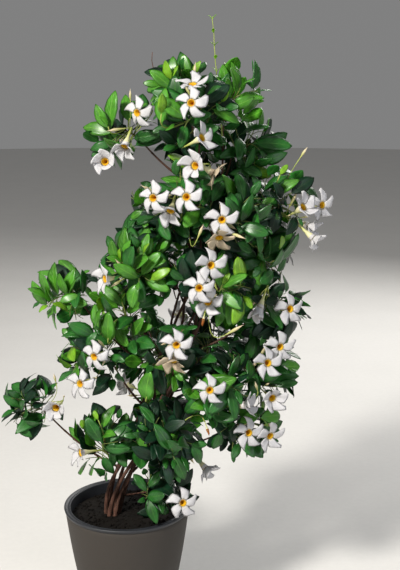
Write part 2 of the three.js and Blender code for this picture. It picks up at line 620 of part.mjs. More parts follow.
// A closed outline of [radius, height] corners turned round the planter's axis.
function turned(outline) {
  const profile = [...outline, outline[0]].map(([radius, z]) => new THREE.Vector2(radius, z));
  return new THREE.LatheGeometry(profile, ROUND).rotateX(Math.PI / 2);
}

// Outside radius of the planter at height z: a straight taper with a slight belly.
function planterRadius(z) {
  const t = z / PLANTER.height;
  return lerp(PLANTER.baseRadius, PLANTER.topRadius, t) + PLANTER.belly * Math.sin(Math.PI * t);
}

// The outer shell: flat foot, bellied wall and an open top.
function planterGeometry() {
  const heights = [0.03, 0.5, 1].map((share) => share * PLANTER.height);
  const outside = heights.map((z) => [planterRadius(z), z]);
  const inside = heights.slice(1).map((z) => [planterRadius(z) - PLANTER.wall, z]).reverse();
  const foot = [PLANTER.baseRadius - PLANTER.foot, 0];
  const well = [PLANTER.baseRadius - PLANTER.wall, PLANTER.floor];
  return turned([[0, 0], foot, ...outside, ...inside, well, [0, PLANTER.floor]]);
}

const insertRadius = (z) => planterRadius(z) - PLANTER.wall - INSERT.play;

// The insert that holds the soil: its lip rests on the shell's top edge.
function insertGeometry() {
  const under = INSERT.top - LIP.depth;
  const outside = [INSERT.floorZ, WALL_HEIGHTS[0], under].map((z) => [insertRadius(z), z]);
  const inside = WALL_HEIGHTS.map((z) => [insertRadius(z) - INSERT.wall, z]).reverse();
  const lip = [[INSERT.radius, under], [INSERT.radius, INSERT.top]];
  const mouth = [INSERT.radius - LIP.width, INSERT.top];
  const well = [insertRadius(INSERT.floorZ) - INSERT.wall, INSERT.floorZ + INSERT.floor];
  return turned([[0, INSERT.floorZ], ...outside, ...lip, mouth, ...inside, well, [0, well[1]]]);
}

// The soil, domed a little at the middle, a gap clear of the insert.
function soilGeometry() {
  const foot = INSERT.floorZ + INSERT.floor + GAP;
  const edge = WALL_HEIGHTS.map((z) => [insertRadius(z) - INSERT.wall - GAP, z]);
  const corner = [insertRadius(INSERT.floorZ) - INSERT.wall - GAP, foot];
  const crown = SOIL.top + SOIL.dome;
  return turned([[0, foot], corner, ...edge, [SOIL.level, crown], [0, crown]]);
}

const finish = (color, roughness) => new THREE.MeshStandardMaterial({ color, roughness, metalness: 0 });
const FINISH = {
  planter: finish(0x8a8073, 0.75),
  insert: finish(0x2c3138, 0.6),
  soil: finish(0x241b14, 1),
  bark: finish(0x5b3a2c, 0.9),
  foliage: finish(0x2f6b2a, 0.4),
  shoot: finish(0x9aa845, 0.6),
};

const plant = new THREE.Group();
function add(name, geometry, material) {
  const mesh = new THREE.Mesh(geometry, material);
  mesh.name = name;
  plant.add(mesh);
}

add("planter", planterGeometry(), FINISH.planter);
add("planter_insert", insertGeometry(), FINISH.insert);
add("potting_soil", soilGeometry(), FINISH.soil);
for (const { name, body } of stems) add(name, body.geometry, FINISH.bark);
for (const { name, curve } of boughs) add(name, limb(curve, BOUGH), FINISH.bark);
for (const mass of masses) add(`${mass.name}_foliage`, growMass(mass), FINISH.foliage);
add("leader_shoot", leaderGeometry(), FINISH.shoot);

export default plant;
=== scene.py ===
"""A white-flowered mandevilla that climbs out of a tapered patio planter.

Stems wind up a leaning line and carry boughs. Masses of foliage hang on the tips of both: each has a heart, a
reach and its own share of the crown, and fills it with twigs, leaves and blooms by a seeded rule.
Lengths are in metres, +Z is up, and the front of the plant faces -Y.
"""

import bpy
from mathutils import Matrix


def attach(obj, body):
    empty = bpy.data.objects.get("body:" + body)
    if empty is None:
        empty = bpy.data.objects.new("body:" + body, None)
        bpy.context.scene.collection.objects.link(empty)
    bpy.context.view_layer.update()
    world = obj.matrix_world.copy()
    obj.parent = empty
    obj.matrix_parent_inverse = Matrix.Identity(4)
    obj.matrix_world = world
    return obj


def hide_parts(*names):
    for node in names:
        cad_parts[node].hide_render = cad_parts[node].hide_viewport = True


bl_info = {
    "name": "Potted Mandevilla",
    "version": (1, 0, 0),
    "blender": (4, 5, 0),
    "location": "3D View > Sidebar > Mandevilla",
    "description": "Grows the bark, twigs, leaves and blooms of a potted mandevilla and turns its planter",
    "category": "Object",
}

import math
from typing import NamedTuple

import bpy
import numpy as np
from bpy.props import FloatProperty, FloatVectorProperty, IntProperty, PointerProperty
from mathutils import Vector

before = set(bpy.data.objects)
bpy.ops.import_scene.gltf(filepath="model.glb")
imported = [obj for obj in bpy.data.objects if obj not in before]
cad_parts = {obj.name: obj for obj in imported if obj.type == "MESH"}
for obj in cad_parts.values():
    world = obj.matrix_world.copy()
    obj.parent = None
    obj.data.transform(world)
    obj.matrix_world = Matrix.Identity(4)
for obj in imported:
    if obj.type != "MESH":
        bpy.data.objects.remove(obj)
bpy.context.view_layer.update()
BODY = "root"
MM = 0.001
SIDES = {
    "stem": 14, "bough": 10, "twig": 5, "stalk": 6, "leader": 7, "bud": 7, "throat": 10, "planter": 128,
    "soil": 120, "crumb": 6, "floor": 96,
}
RINGS = {"stem": 260, "bough": 90, "leader": 40, "twig": 7, "stalk": 8, "wall": 24, "liner": 12}
# Where a row of draws starts, and by how much the start moves on from one thing of its kind to the next
SEEDS = {
    "mass": (1000, 77), "bloom": (5000, 31), "withered": (8000, 41), "bud": (1800014, 900007),
    "petals": (282033, 31337), "withered_petals": (205585, 41117),
}
CRUMB_SEED, LEADER_SEED = 11, 5

# Planter, liner and soil
PLANTER = {
    "height": 0.272, "top": 0.147, "base": 0.097, "belly": 0.005, "wall": 0.004, "foot": 0.003,
    "floor": 0.006, "edge": 0.0012, "flat_to": 0.070,
}
LINER = {
    "top": 0.280, "radius": 0.150, "depth": 0.0077, "lip": 0.015, "wall": 0.003, "play": 0.003,
    "foot": 0.044, "floor": 0.004, "bead": 0.0022, "groove": 0.0016,
}
SOIL = {
    "top": 0.252, "bottom": 0.225, "dome": 0.006, "highest": 0.004, "play": 0.0004, "narrows": 0.98,
    "middle": 0.015, "rings": (0.05, 1, 26),
}
CRUMBS = {"number": 420, "spread": 0.95, "size": (0.0010, 0.0034), "over_soil": 0.0055, "uneven": (0.7, 1.2)}
NEAR_AXIS = 0.002
# The rim's groove: how far past the liner's mouth and under its top
RIM_GROOVE = ((0.0045, 0.0017), (0.0058, 0.0030), (0.0071, 0.0017))
# A crumb's outline in shares of its size: radius, and depth along its axis
CRUMB_SHAPE = np.array(((0.25, 1.0), (0.8, 0.6), (1.0, 0.0), (0.75, -0.7), (0.2, -1.0)))

# Stems and boughs
STEM_TOPS = (0.930, 1.150, 0.780, 1.010, 1.196, 1.105)
COLUMN = {"x": (-0.036, 0.190), "y": (-0.008, 0.012), "straight": 1.0}
WINDING = {"turns": 0.9, "top": 1.196, "foot": 0.013, "spread": 0.034, "spread_by": 0.4, "bulge": 0.008}
BOW = {"aside": 0.010, "height": 0.170}
STEM = {"radius": 0.0043, "tip": 0.0021, "flare": 1.35, "flared": 0.08, "spare": 0.015, "waver": 0.0012}
BOUGH = {
    "radius": 0.0029, "tip": 0.0018, "sag": 0.27, "short": 0.45, "below": 0.3, "swell": 0.5,
    "swollen": 0.03,
}
SHOOT = {"radius": 0.0024, "tip": 0.0014, "ahead": 0.4}
BARK = {"joint_spacing": 0.048, "joint_width": 0.0022, "ridges": 0.05, "joints": 0.2, "grain": 0.035}
# Ridges of the bark: their number round a limb, how far they wander, how often, how unlike from limb to limb,
# and their share of the relief
RIDGES = ((4, 1.6, 21, 1, 1.0), (7, 3, 34, 2, 0.6))
LEADER = {
    "radius": 0.0015, "tip": 0.0009, "start": 1.128, "top": (0.199, 0.016, 1.402), "sag": 0.1,
    "waver": 0.0015, "pairs": (0.6, 0.985, 5), "leaf": 0.0135, "erect": 1.2,
    "knots": 80, "knot": 0.25, "narrow": 0.93,
}


class Mass(NamedTuple):
    """A mass of foliage: it hangs on the tip of stem tip_of, or leaves the stems at height start."""

    name: str
    heart: tuple
    reach: float
    tip_of: int | None = None
    start: float = 0.0
    bough: bool = False
    # A low fresh share also gives a mass more of the darkest tint, as painted shade.
    fresh: float = 0.3  # share of its sprays that are young and bright


MASSES = (
    Mass("top_left", (0.126, -0.035, 1.252), 0.085, tip_of=4, fresh=0.35),
    Mass("top_right", (0.250, 0.005, 1.245), 0.085, tip_of=1, fresh=0.5),
    Mass("upper_left", (0.008, -0.050, 1.166), 0.092, start=1.040, bough=True, fresh=0.2),
    Mass("crown_front", (0.160, -0.095, 1.205), 0.105, tip_of=5, fresh=0.3),
    Mass("crown_back", (0.165, 0.115, 1.160), 0.115, start=1.060, bough=True, fresh=0.2),
    Mass("right_shoulder", (0.285, 0.030, 1.125), 0.095, start=1.030, bough=True, fresh=0.15),
    Mass("upper_front", (0.120, -0.105, 1.022), 0.108, tip_of=0, fresh=0.25),
    Mass("upper_right_front", (0.243, -0.100, 0.985), 0.105, start=0.900, fresh=0.15),
    Mass("upper_right", (0.345, -0.005, 0.998), 0.100, start=0.900, bough=True, fresh=0.15),
    Mass("upper_back", (0.235, 0.125, 1.010), 0.115, tip_of=3, fresh=0.1),
    Mass("inner_left", (0.062, 0.030, 0.975), 0.092, start=0.900, bough=True, fresh=0.2),
    Mass("middle_left", (0.040, -0.080, 0.868), 0.105, start=0.800, fresh=0.35),
    Mass("middle_front", (0.205, -0.115, 0.842), 0.108, tip_of=2, fresh=0.3),
    Mass("middle_right", (0.320, -0.015, 0.885), 0.105, start=0.790, bough=True, fresh=0.1),
    Mass("middle_back", (0.250, 0.130, 0.850), 0.115, start=0.740, bough=True, fresh=0.1),
    Mass("left_back", (0.072, 0.115, 0.865), 0.112, start=0.760, bough=True, fresh=0.2),
    Mass("far_left", (-0.132, -0.030, 0.800), 0.090, start=0.610, bough=True, fresh=0.4),
    Mass("right_side", (0.335, -0.010, 0.765), 0.105, start=0.650, bough=True, fresh=0.1),
    Mass("left_middle", (-0.005, -0.060, 0.759), 0.088, start=0.665, bough=True, fresh=0.3),
    Mass("left_low_front", (-0.068, -0.065, 0.672), 0.105, start=0.530, bough=True, fresh=0.2),
    Mass("low_front", (0.092, -0.095, 0.690), 0.108, start=0.610, fresh=0.2),
    Mass("low_middle", (0.208, -0.105, 0.615), 0.105, start=0.560, fresh=0.15),
    Mass("low_right", (0.310, -0.020, 0.620), 0.105, start=0.500, bough=True, fresh=0.1),
    Mass("low_back_left", (0.055, 0.115, 0.640), 0.115, start=0.560, bough=True, fresh=0.15),
    Mass("low_back", (0.205, 0.125, 0.650), 0.115, start=0.560, bough=True, fresh=0.1),
    Mass("far_low_left", (-0.215, -0.020, 0.532), 0.084, start=0.380, bough=True, fresh=0.0),
    Mass("right_skirt", (0.272, -0.035, 0.500), 0.105, start=0.420, bough=True, fresh=0.15),
    Mass("left_skirt", (-0.048, -0.050, 0.458), 0.100, start=0.360, fresh=0.35),
    Mass("front_skirt", (0.095, -0.095, 0.478), 0.105, start=0.400, fresh=0.1),
    Mass("back_skirt", (0.090, 0.110, 0.450), 0.110, start=0.350, bough=True, fresh=0.2),
    Mass("foot", (0.088, -0.070, 0.345), 0.090, start=0.300, fresh=0.0),
)
HEARTS = np.array([mass.heart for mass in MASSES])

# Twigs and leaves
GROWTH = {"order": 11, "first_foot": 0.4, "back": -0.75, "ahead": 0.97, "spill": 0.014}
TWIG = {"radius": 0.0014, "tip": 0.0008, "length": (0.5, 0.8), "rise": 0.06, "onward": 0.14, "covered": 0.35}
YOUNG_TWIG = {"radius": 0.0021, "tip": 0.0012, "forward": 0.25, "straight": 0.6, "turn": 0.4, "scale": 0.84}
SIDE_TWIG = {
    "radius": 0.0009, "tip": 0.0006, "length": 0.5, "splay": 0.8, "scale": 0.85, "covered": 0.3,
    "at": (0.42, 0.66), "turn": 9, "sway": 0.6, "bend": 0.3,
}
LEAF = {"width": 0.42, "arch": 0.05, "droop": 0.14, "rise": 0.12, "stalk": 0.09}
TRIED = (1.0, 0.8)
FACING = {"twig": 0.5, "up": 0.45, "front": 0.35, "out": 0.35}
SWAY = {"turn": 0.8, "pair": 0.9, "splay": 0.4, "leaf": 0.5, "bloom": 0.7}
CLEAR = {
    "limb": 0.002, "twig": 0.0015, "crest": 0.011, "planter": 0.004, "stalk": 0.004,
    "bloom": 0.004, "petals": 0.036, "tube": 0.009, "in_front": 0.055, "over_twig": 0.02,
}
ROOM = {
    "stem": 0.0040, "leader": 0.006, "beyond": 0.02, "step": 0.02, "leaves": 4000,
    "near_leaf": 0.09, "near_twig": 0.12, "near_stalk": 0.08,
}
# How many points stand for a line, and from which to which share of it
SAMPLED = {"stem": 160, "bough": 40, "shoot": 24, "leader": 40, "twig": 7, "bud": 8}
SAMPLED_STALK = (0.45, 1, 8)
SAMPLED_THIN = (0.25, 1, 12)


class Joint(NamedTuple):
    """Where a twig bears a pair of leaves: share of its length, size of the pair, and how wide it opens."""

    at: float
    scale: float
    splay: float


JOINTS = (
    Joint(0.38, 0.95, 1.3),
    Joint(0.60, 1.0, 1.25),
    Joint(0.80, 1.0, 1.15),
    Joint(0.97, 0.88, 0.95),
)
SIDE_JOINTS = (Joint(0.55, 0.9, 1.2), Joint(0.97, 0.8, 0.9))
TIP_PAIR = Joint(1.0, 0.42, 0.35)
ERECT_JOINTS = (
    Joint(0.48, 0.95, 0.95),
    Joint(0.68, 1.0, 0.85),
    Joint(0.86, 0.95, 0.65),
    Joint(0.98, 0.7, 0.45),
)


class Spray(NamedTuple):
    """A twig that stands up out of the crown: its tip, and its lean to the right as it rises."""

    tip: tuple
    lean: float


SPRAYS = (
    Spray((0.114, -0.075, 1.269), -0.1),
    Spray((0.156, -0.045, 1.275), 0.3),
    Spray((0.259, -0.040, 1.252), 0.45),
    Spray((-0.021, -0.085, 1.174), -0.1),
    Spray((0.024, -0.060, 1.190), 0.5),
    Spray((0.094, -0.150, 1.203), 0.25),
    Spray((0.052, -0.135, 0.909), 0.0),
    Spray((0.006, -0.110, 0.887), -0.7),
    Spray((-0.119, -0.060, 0.803), 0.3),
    Spray((-0.160, -0.055, 0.790), -0.6),
    Spray((0.219, -0.170, 0.850), 0.2),
    Spray((-0.055, -0.095, 0.523), -0.35),
    Spray((0.057, -0.130, 0.592), 0.3),
    Spray((0.347, -0.045, 1.067), 0.4),
    Spray((-0.027, -0.115, 0.719), 0.2),
    Spray((0.121, -0.165, 0.999), -0.3),
    Spray((0.003, -0.100, 0.796), -0.3),
)

BARE_TWIGS = (
    Spray((0.072, -0.040, 1.327), 0.2),
    Spray((0.062, -0.100, 0.728), -0.3),
    Spray((0.135, -0.125, 0.742), 0.4),
    Spray((0.100, -0.145, 0.655), 0.1),
    Spray((0.330, 0.060, 0.900), 0.5),
    Spray((0.110, 0.170, 0.760), -0.2),
)

# Edge of a leaf from its root: shares of its length, of half its width and of its droop
EDGE = ((0.32, 0.9, 0.05), (0.7, 0.8, 0.45))
OUTLINE = ((0, 0, 0), *EDGE, (1, 0, 1), *((u, -v, w) for u, v, w in reversed(EDGE)))
CREST = {"at": 0.48, "drop": 0.2}
FACETS = np.array([(0, 6, 1), (1, 6, 2), (2, 6, 3), (3, 6, 4), (4, 6, 5), (5, 6, 0)])
RIBS = np.array([(0, 1), (1, 2), (2, 3), (3, 4), (4, 5), (0, 5), (0, 6), (6, 3)])


class Flower(NamedTuple):
    """A bloom: its centre, how wide it has opened from 0 to 1, where it faces if not by the rule, and
    whether it has faded."""

    spot: tuple
    openness: float = 1.0
    facing: tuple | None = None
    faded: bool = False


BLOOMS = (
    Flower((0.042, -0.110, 1.203)),
    Flower((-0.028, -0.095, 1.100), 0.45, (-0.1, -1.0, 0.1)),
    Flower((0.155, -0.175, 1.226)),
    Flower((0.177, -0.172, 1.156), 0.7, (0.7, -0.55, 0.4)),
    Flower((0.163, -0.168, 1.099), 0.6, (-0.5, -0.85, 0.0)),
    Flower((0.200, -0.150, 1.082), 0.7, (0.8, -0.1, -0.5), True),
    Flower((0.077, -0.185, 1.035), 0.95),
    Flower((0.145, -0.192, 1.038)),
    Flower((0.218, -0.185, 0.990), 0.95),
    Flower((-0.028, -0.150, 0.858), 0.7, (-0.8, -0.6, 0.0)),
    Flower((0.396, -0.070, 1.000), 0.6, (0.5, -0.5, 0.4)),
    Flower((0.442, -0.030, 0.999), 0.9, (0.6, -0.8, 0.1)),
    Flower((0.422, -0.045, 0.928), 0.6, (0.7, -0.3, -0.6)),
    Flower((0.196, -0.195, 0.897), 0.85, (0.35, -0.9, 0.1)),
    Flower((0.171, -0.205, 0.851)),
    Flower((0.303, -0.110, 0.785), 0.35, (-0.3, -0.6, -0.7)),
    Flower((0.371, -0.085, 0.777), 0.9),
    Flower((-0.055, -0.150, 0.687)),
    Flower((-0.090, -0.125, 0.618), 0.95),
    Flower((-0.149, -0.095, 0.552), 0.45, (-0.2, -1.0, 0.0)),
    Flower((0.123, -0.185, 0.723), 0.85),
    Flower((0.194, -0.190, 0.625)),
    Flower((0.349, -0.105, 0.696), 0.9),
    Flower((0.271, -0.150, 0.578), 0.55, (0.9, -0.35, 0.2)),
    Flower((0.333, -0.110, 0.580), 0.6),
    Flower((0.281, -0.130, 0.506), 0.9),
    Flower((0.330, -0.105, 0.489), 0.8),
    Flower((-0.096, -0.095, 0.445), 0.6, (-0.8, -0.6, 0.1)),
    Flower((0.135, -0.140, 0.344), 0.95),
    Flower((0.185, -0.060, 0.394), 0.5, (0.6, -0.4, -0.6)),
    Flower((0.210, 0.215, 1.120), 0.9),
    Flower((0.040, 0.190, 0.930)),
    Flower((0.290, 0.225, 0.800), 0.6),
    Flower((0.120, 0.215, 0.690)),
    Flower((-0.010, 0.175, 0.520), 0.8),
)
MORE_BLOOMS = (
    Flower((0.016, -0.115, 1.135), 0.5, (-0.2, -0.6, -0.6)),
    Flower((0.158, -0.135, 1.262), 0.75, (-0.1, -0.45, 0.9)),
    Flower((0.112, -0.165, 1.005), 0.6, (-0.2, -0.7, -0.6)),
    Flower((0.213, -0.170, 0.950), 0.7, (0.1, -0.7, -0.6), True),
    Flower((0.413, -0.020, 0.951), 0.5, (0.8, -0.4, -0.3)),
    Flower((0.190, -0.170, 0.813), 0.75),
    Flower((0.116, -0.170, 0.684), 0.6, (-0.1, -0.7, -0.6), True),
    Flower((0.321, -0.130, 0.667), 0.8),
    Flower((0.115, 0.200, 1.205), 0.8),
    Flower((0.300, 0.190, 1.050)),
    Flower((0.160, 0.225, 0.965), 0.9),
    Flower((0.020, 0.200, 0.790), 0.7),
    Flower((0.345, 0.130, 0.680)),
    Flower((0.190, 0.225, 0.580), 0.85),
    Flower((0.375, 0.100, 0.870), 0.9),
)
SPENT_BLOOMS = (
    Flower((0.190, -0.130, 0.512), 0.05, (0.3, -0.5, -0.8)),
    Flower((0.180, -0.150, 0.768), 0.05, (-0.2, -0.5, -0.8)),
    Flower((0.095, -0.110, 0.600), 0.05, (-0.4, -0.6, -0.7)),
    Flower((0.060, 0.150, 0.800), 0.05, (0.1, 0.6, -0.8)),
)
TO_LIGHT = {"front": 1.1, "behind": 0.060}
BLOOM = {
    "throat": 0.0077, "tube": 0.046, "stalk": 0.0012, "stalk_end": 0.5, "straight": 0.45, "rise": 0.2,
    "withered": 0.42,
}


class Bud(NamedTuple):
    """A single bud that shows well: where its stalk meets it, the way it points, and its length."""

    neck: tuple
    heading: tuple
    length: float


BUDS = (
    Bud((0.160, -0.080, 1.268), (0.1, -0.2, 1.0), 0.040),
    Bud((0.167, -0.180, 0.948), (0.35, -0.3, 0.9), 0.038),
    Bud((0.229, -0.175, 0.964), (0.9, -0.35, -0.3), 0.044),
    Bud((0.224, -0.175, 0.741), (0.8, -0.3, 0.55), 0.052),
    Bud((0.388, -0.040, 1.100), (0.5, -0.2, 0.8), 0.034),
    Bud((0.026, -0.070, 1.222), (0.0, -0.1, 1.0), 0.030),
    Bud((-0.150, -0.070, 0.600), (-0.1, -0.4, 0.9), 0.032),
    Bud((0.300, -0.125, 0.600), (-0.2, -0.5, 0.8), 0.036),
    Bud((0.120, 0.230, 1.080), (-0.2, 0.6, 0.7), 0.040),
)
# Buds on the stalk of a bloom: how many, where, how long, and what they keep off
BUD = {
    "stalk": 0.0008, "knot": 0.72, "number": (0.6, 3.6),
    "spread": (0.45, 0.9), "rise": 0.25, "sag": 0.002,
    "neck": (0.010, 0.018), "length": (0.016, 0.052), "radius": (0.0013, 0.0038), "steepest": 1.2,
    "small": 0.01, "grows": 0.035,
    "off_petal": 0.005, "off_centre": 0.040, "over_throat": 0.002, "in_tube": 0.030, "off_throat": 0.001,
}
FIFTH = 2 * math.pi / 5
GOLDEN_ANGLE = math.pi * (3 - math.sqrt(5))

# Gaps through the crown as seen from the front: where a line of sight crosses y = 0, and the gap's radius
EYE = np.array((0.1731, -2.2182, 1.3007))
LOOK_DOWN = math.radians(12.42)
FRAME_HEIGHTS = 1000 / 570  # focal length over the height of the picture
GAPS = (
    ((-0.023, 0.995), 0.045),
    ((0.054, 1.086), 0.033),
    ((0.114, 0.749), 0.030),
    ((0.374, 1.208), 0.052),
    ((0.406, 0.847), 0.045),
    ((0.044, 1.328), 0.037),
    ((0.208, 1.344), 0.026),
    ((0.320, 0.333), 0.057),
    ((-0.209, 0.659), 0.046),
    ((-0.157, 0.409), 0.042),
    ((-0.092, 0.916), 0.052),
    ((-0.099, 1.268), 0.048),
)

UP = np.array((0.0, 0.0, 1.0))
FRONT = np.array((0.0, -1.0, 0.0))
NO_LENGTH = 1e-12
NO_AREA = 1e-15
NEARLY_ALONG = 0.05
OTHER_FACING = (1, 0.3, 0)


# Numbers and lines


class Draws:
    """A seeded draw between 0 and 1 that gives the same row of numbers for the same seed."""

    def __init__(self, seed):
        self.state = seed

    def __call__(self, low=0.0, high=1.0):
        self.state = self.state * 16807 % 2147483647
        return low + (high - low) * self.state / 2147483647

    def sway(self):
        """Three draws between -0.5 and 0.5."""
        return np.array([self(-0.5, 0.5) for _ in range(3)])


def draws_of(kind, index):
    start, step = SEEDS[kind]
    return Draws(start + step * index)


def lerp(a, b, t):
    return a + (b - a) * t


def smooth(t):
    t = np.clip(t, 0, 1)
    return t * t * (3 - 2 * t)


def unit(v):
    return v / np.maximum(np.linalg.norm(v, axis=-1, keepdims=True), NO_LENGTH)


def frame_of(along, facing):
    """Axes along, across and face: across is square to facing and along, and face to the other two. Where
    facing lies along the first axis, another direction takes its place."""
    along = unit(np.asarray(along, float))
    across = np.cross(facing, along)
    flat = np.linalg.norm(across, axis=-1, keepdims=True) < NEARLY_ALONG
    across = unit(np.where(flat, np.cross(OTHER_FACING, along), across))
    return along, across, np.cross(along, across)


class Bend(NamedTuple):
    """A line that sets off from start towards middle and arrives at end from there."""

    start: np.ndarray
    middle: np.ndarray
    end: np.ndarray

    def at(self, t):
        """(1 - t)^2 of start, 2t(1 - t) of middle and t^2 of end."""
        t = np.asarray(t, float)[..., None]
        return (1 - t) ** 2 * self.start + 2 * t * (1 - t) * self.middle + t**2 * self.end

    def heading(self, t):
        return unit((1 - t) * (self.middle - self.start) + t * (self.end - self.middle))


def bow_at(z):
    """Half a wave over the stems' bowed feet: 0 at the soil and at the bow's upper end."""
    return np.sin(np.pi * np.clip((z - SOIL["top"]) / BOW["height"], 0, 1))


def column_at(z):
    """The line that the stems climb: half of its lean follows 1 - (1 - t)^2 and half a smooth step of t."""
    t = np.clip((z - SOIL["top"]) / (COLUMN["straight"] - SOIL["top"]), 0, 1)
    lean = 0.5 * (1 - (1 - t) ** 2) + 0.5 * smooth(t)
    x = lerp(*COLUMN["x"], lean) - BOW["aside"] * bow_at(z)
    return np.stack([x, lerp(*COLUMN["y"], lean), z + 0 * lean], -1)


def stem_at(k, z):
    """Stem k at height z: out from the column at an angle that grows evenly with z."""
    z = np.asarray(z, float)
    share = (z - SOIL["top"]) / (WINDING["top"] - SOIL["top"])
    angle = 2 * np.pi * (k / len(STEM_TOPS) + WINDING["turns"] * share)
    out = lerp(WINDING["foot"], WINDING["spread"], smooth(share / WINDING["spread_by"]))
    out = out + WINDING["bulge"] * (0.5 + 0.5 * math.cos(2 * k)) * bow_at(z)
    return column_at(z) + np.stack([out * np.cos(angle), out * np.sin(angle), 0 * z], -1)


def stem_radius(t):
    flare = 1 + (STEM["flare"] - 1) * np.maximum(0, 1 - t / STEM["flared"])
    return lerp(STEM["radius"], STEM["tip"], t) * flare


def side_foot(z, goal):
    """Where a side limb leaves the stems at height z: on the stem that stands furthest out towards goal."""
    outward = unit((np.asarray(goal) - column_at(z)) * (1, 1, 0))
    able = [k for k, top in enumerate(STEM_TOPS) if top > z + STEM["spare"]]
    return stem_at(max(able, key=lambda k: (stem_at(k, z) - column_at(z)) @ outward), z)


def bent(start, end, lift):
    middle = lerp(start, end, 0.5) + UP * (lift * np.linalg.norm(end - start) * 0.5)
    return Bend(start, middle, end)


def bough_of(mass):
    """The bough of a mass ends below its heart, on the side of the stems."""
    heart = np.array(mass.heart)
    inward = unit((column_at(heart[2]) - heart) * (1, 1, 0))
    end = heart + inward * BOUGH["short"] * mass.reach - UP * BOUGH["below"] * mass.reach
    return bent(side_foot(mass.start, end), end, -BOUGH["sag"])


def shoot_of(mass):
    """The stem of a mass goes on from the tip that carries it and bends to the mass's heart."""
    heart = np.array(mass.heart)
    if mass.bough:
        bough = bough_of(mass)
        foot, heading = bough.end, bough.heading(1)
    elif mass.tip_of is not None:
        top = STEM_TOPS[mass.tip_of]
        foot = stem_at(mass.tip_of, top)
        heading = unit(foot - stem_at(mass.tip_of, top - 0.005))
    else:
        return bent(side_foot(mass.start, heart), heart, 0.0)
    return Bend(foot, foot + heading * SHOOT["ahead"] * np.linalg.norm(heart - foot), heart)


BOUGHS = {f"{mass.name}_bough": bough_of(mass) for mass in MASSES if mass.bough}
SHOOTS = [shoot_of(mass) for mass in MASSES]
LEADER_LINE = bent(side_foot(LEADER["start"], LEADER["top"]), np.array(LEADER["top"]), -LEADER["sag"])
FOLIAGE = [f"{mass.name}_foliage" for mass in MASSES]


def nearest_mass(spot):
    return int(np.linalg.norm(HEARTS - spot, axis=1).argmin())


def foot_share(ahead):
    """How far along a shoot a twig leaves it: the further ahead it points, the nearer the shoot's end."""
    forward = np.clip((ahead - GROWTH["back"]) / (GROWTH["ahead"] - GROWTH["back"]), 0, 1)
    return lerp(GROWTH["first_foot"], 1, forward)


def line_to(end, heading, index, straight):
    """A line that leaves the shoot of a mass and arrives at end along heading."""
    shoot = SHOOTS[index]
    foot = shoot.at(foot_share(unit(end - HEARTS[index]) @ shoot.heading(1)))
    return Bend(foot, end - heading * straight * np.linalg.norm(end - foot), end)


# Meshes


class Joined:
    """Gathers many closed shapes of like kinds into one mesh."""

    def __init__(self):
        self.points, self.faces, self.slots, self.uvs = [], [], [], []
        self.count = 0

    def add(self, copies, faces, slots=0, uv=None):
        """copies: (copies, points, 3). faces: arrays of one copy's corners. slots: (copies, faces) or less.
        uv: one row for each point of a copy."""
        copies = np.asarray(copies, float)
        number, size = copies.shape[:2]
        starts = self.count + np.arange(number)[:, None, None] * size
        total = sum(len(corners) for corners in faces)
        slots = np.broadcast_to(slots, (number, total))
        done = 0
        for corners in faces:
            self.faces += (starts + corners).reshape(-1, corners.shape[1]).tolist()
            self.slots.append(slots[:, done : done + len(corners)].ravel())
            if uv is not None:
                self.uvs.append(np.tile(uv[corners.ravel()], (number, 1)))
            done += len(corners)
        self.points.append(copies.reshape(-1, 3))
        self.count += number * size

    def make(self, name, slot, materials, stands_for):
        """Makes the object, lets it ride on the body and hides the parts that it stands for."""
        mesh = bpy.data.meshes.new(name)
        mesh.from_pydata(np.concatenate(self.points), [], self.faces)
        mesh.polygons.foreach_set("material_index", np.concatenate(self.slots).astype(np.int32))
        mesh.polygons.foreach_set("use_smooth", np.ones(len(self.faces), bool))
        if self.uvs:
            layer = mesh.uv_layers.new(name="along_across")
            layer.data.foreach_set("uv", np.concatenate(self.uvs).astype(np.float32).ravel())
        for material in materials:
            mesh.materials.append(material)
        mesh.update()
        piece = bpy.data.objects.new(name, mesh)
        bpy.context.scene.collection.objects.link(piece)
        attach(piece, BODY)
        if stands_for:
            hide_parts(*stands_for)
        return piece


def ring_faces(rings, sides):
    """Faces of a closed tube: bands between its rings and a flat cap at each end, all facing out."""
    i, j = np.meshgrid(np.arange(rings - 1), np.arange(sides), indexing="ij")
    a, b = i * sides + j, i * sides + (j + 1) % sides
    bands = np.stack([a, b, b + sides, a + sides], -1).reshape(-1, 4)
    first = np.arange(sides)[None, ::-1]
    return [bands, np.concatenate([first, np.arange(sides)[None] + (rings - 1) * sides])]


def tubes(lines, radii, sides):
    """Rings round many lines: the line's point plus the radius towards each side, square to the line.

    lines: (copies, rings, 3). radii: (copies, rings) or (copies, rings, sides).
    """
    radii = np.broadcast_to(radii[..., None] if radii.ndim == 2 else radii, (*lines.shape[:2], sides))
    tangent = unit(np.gradient(lines, axis=1))
    whole = unit(lines[:, -1] - lines[:, 0])
    spare = np.eye(3)[np.abs(whole).argmin(1)][:, None]
    normal = unit(np.cross(tangent, spare))
    side = np.cross(tangent, normal)
    angle = np.arange(sides) * 2 * np.pi / sides
    out = np.cos(angle)[:, None] * normal[:, :, None] + np.sin(angle)[:, None] * side[:, :, None]
    points = lines[:, :, None] + radii[..., None] * out
    return points.reshape(len(lines), -1, 3), ring_faces(lines.shape[1], sides)


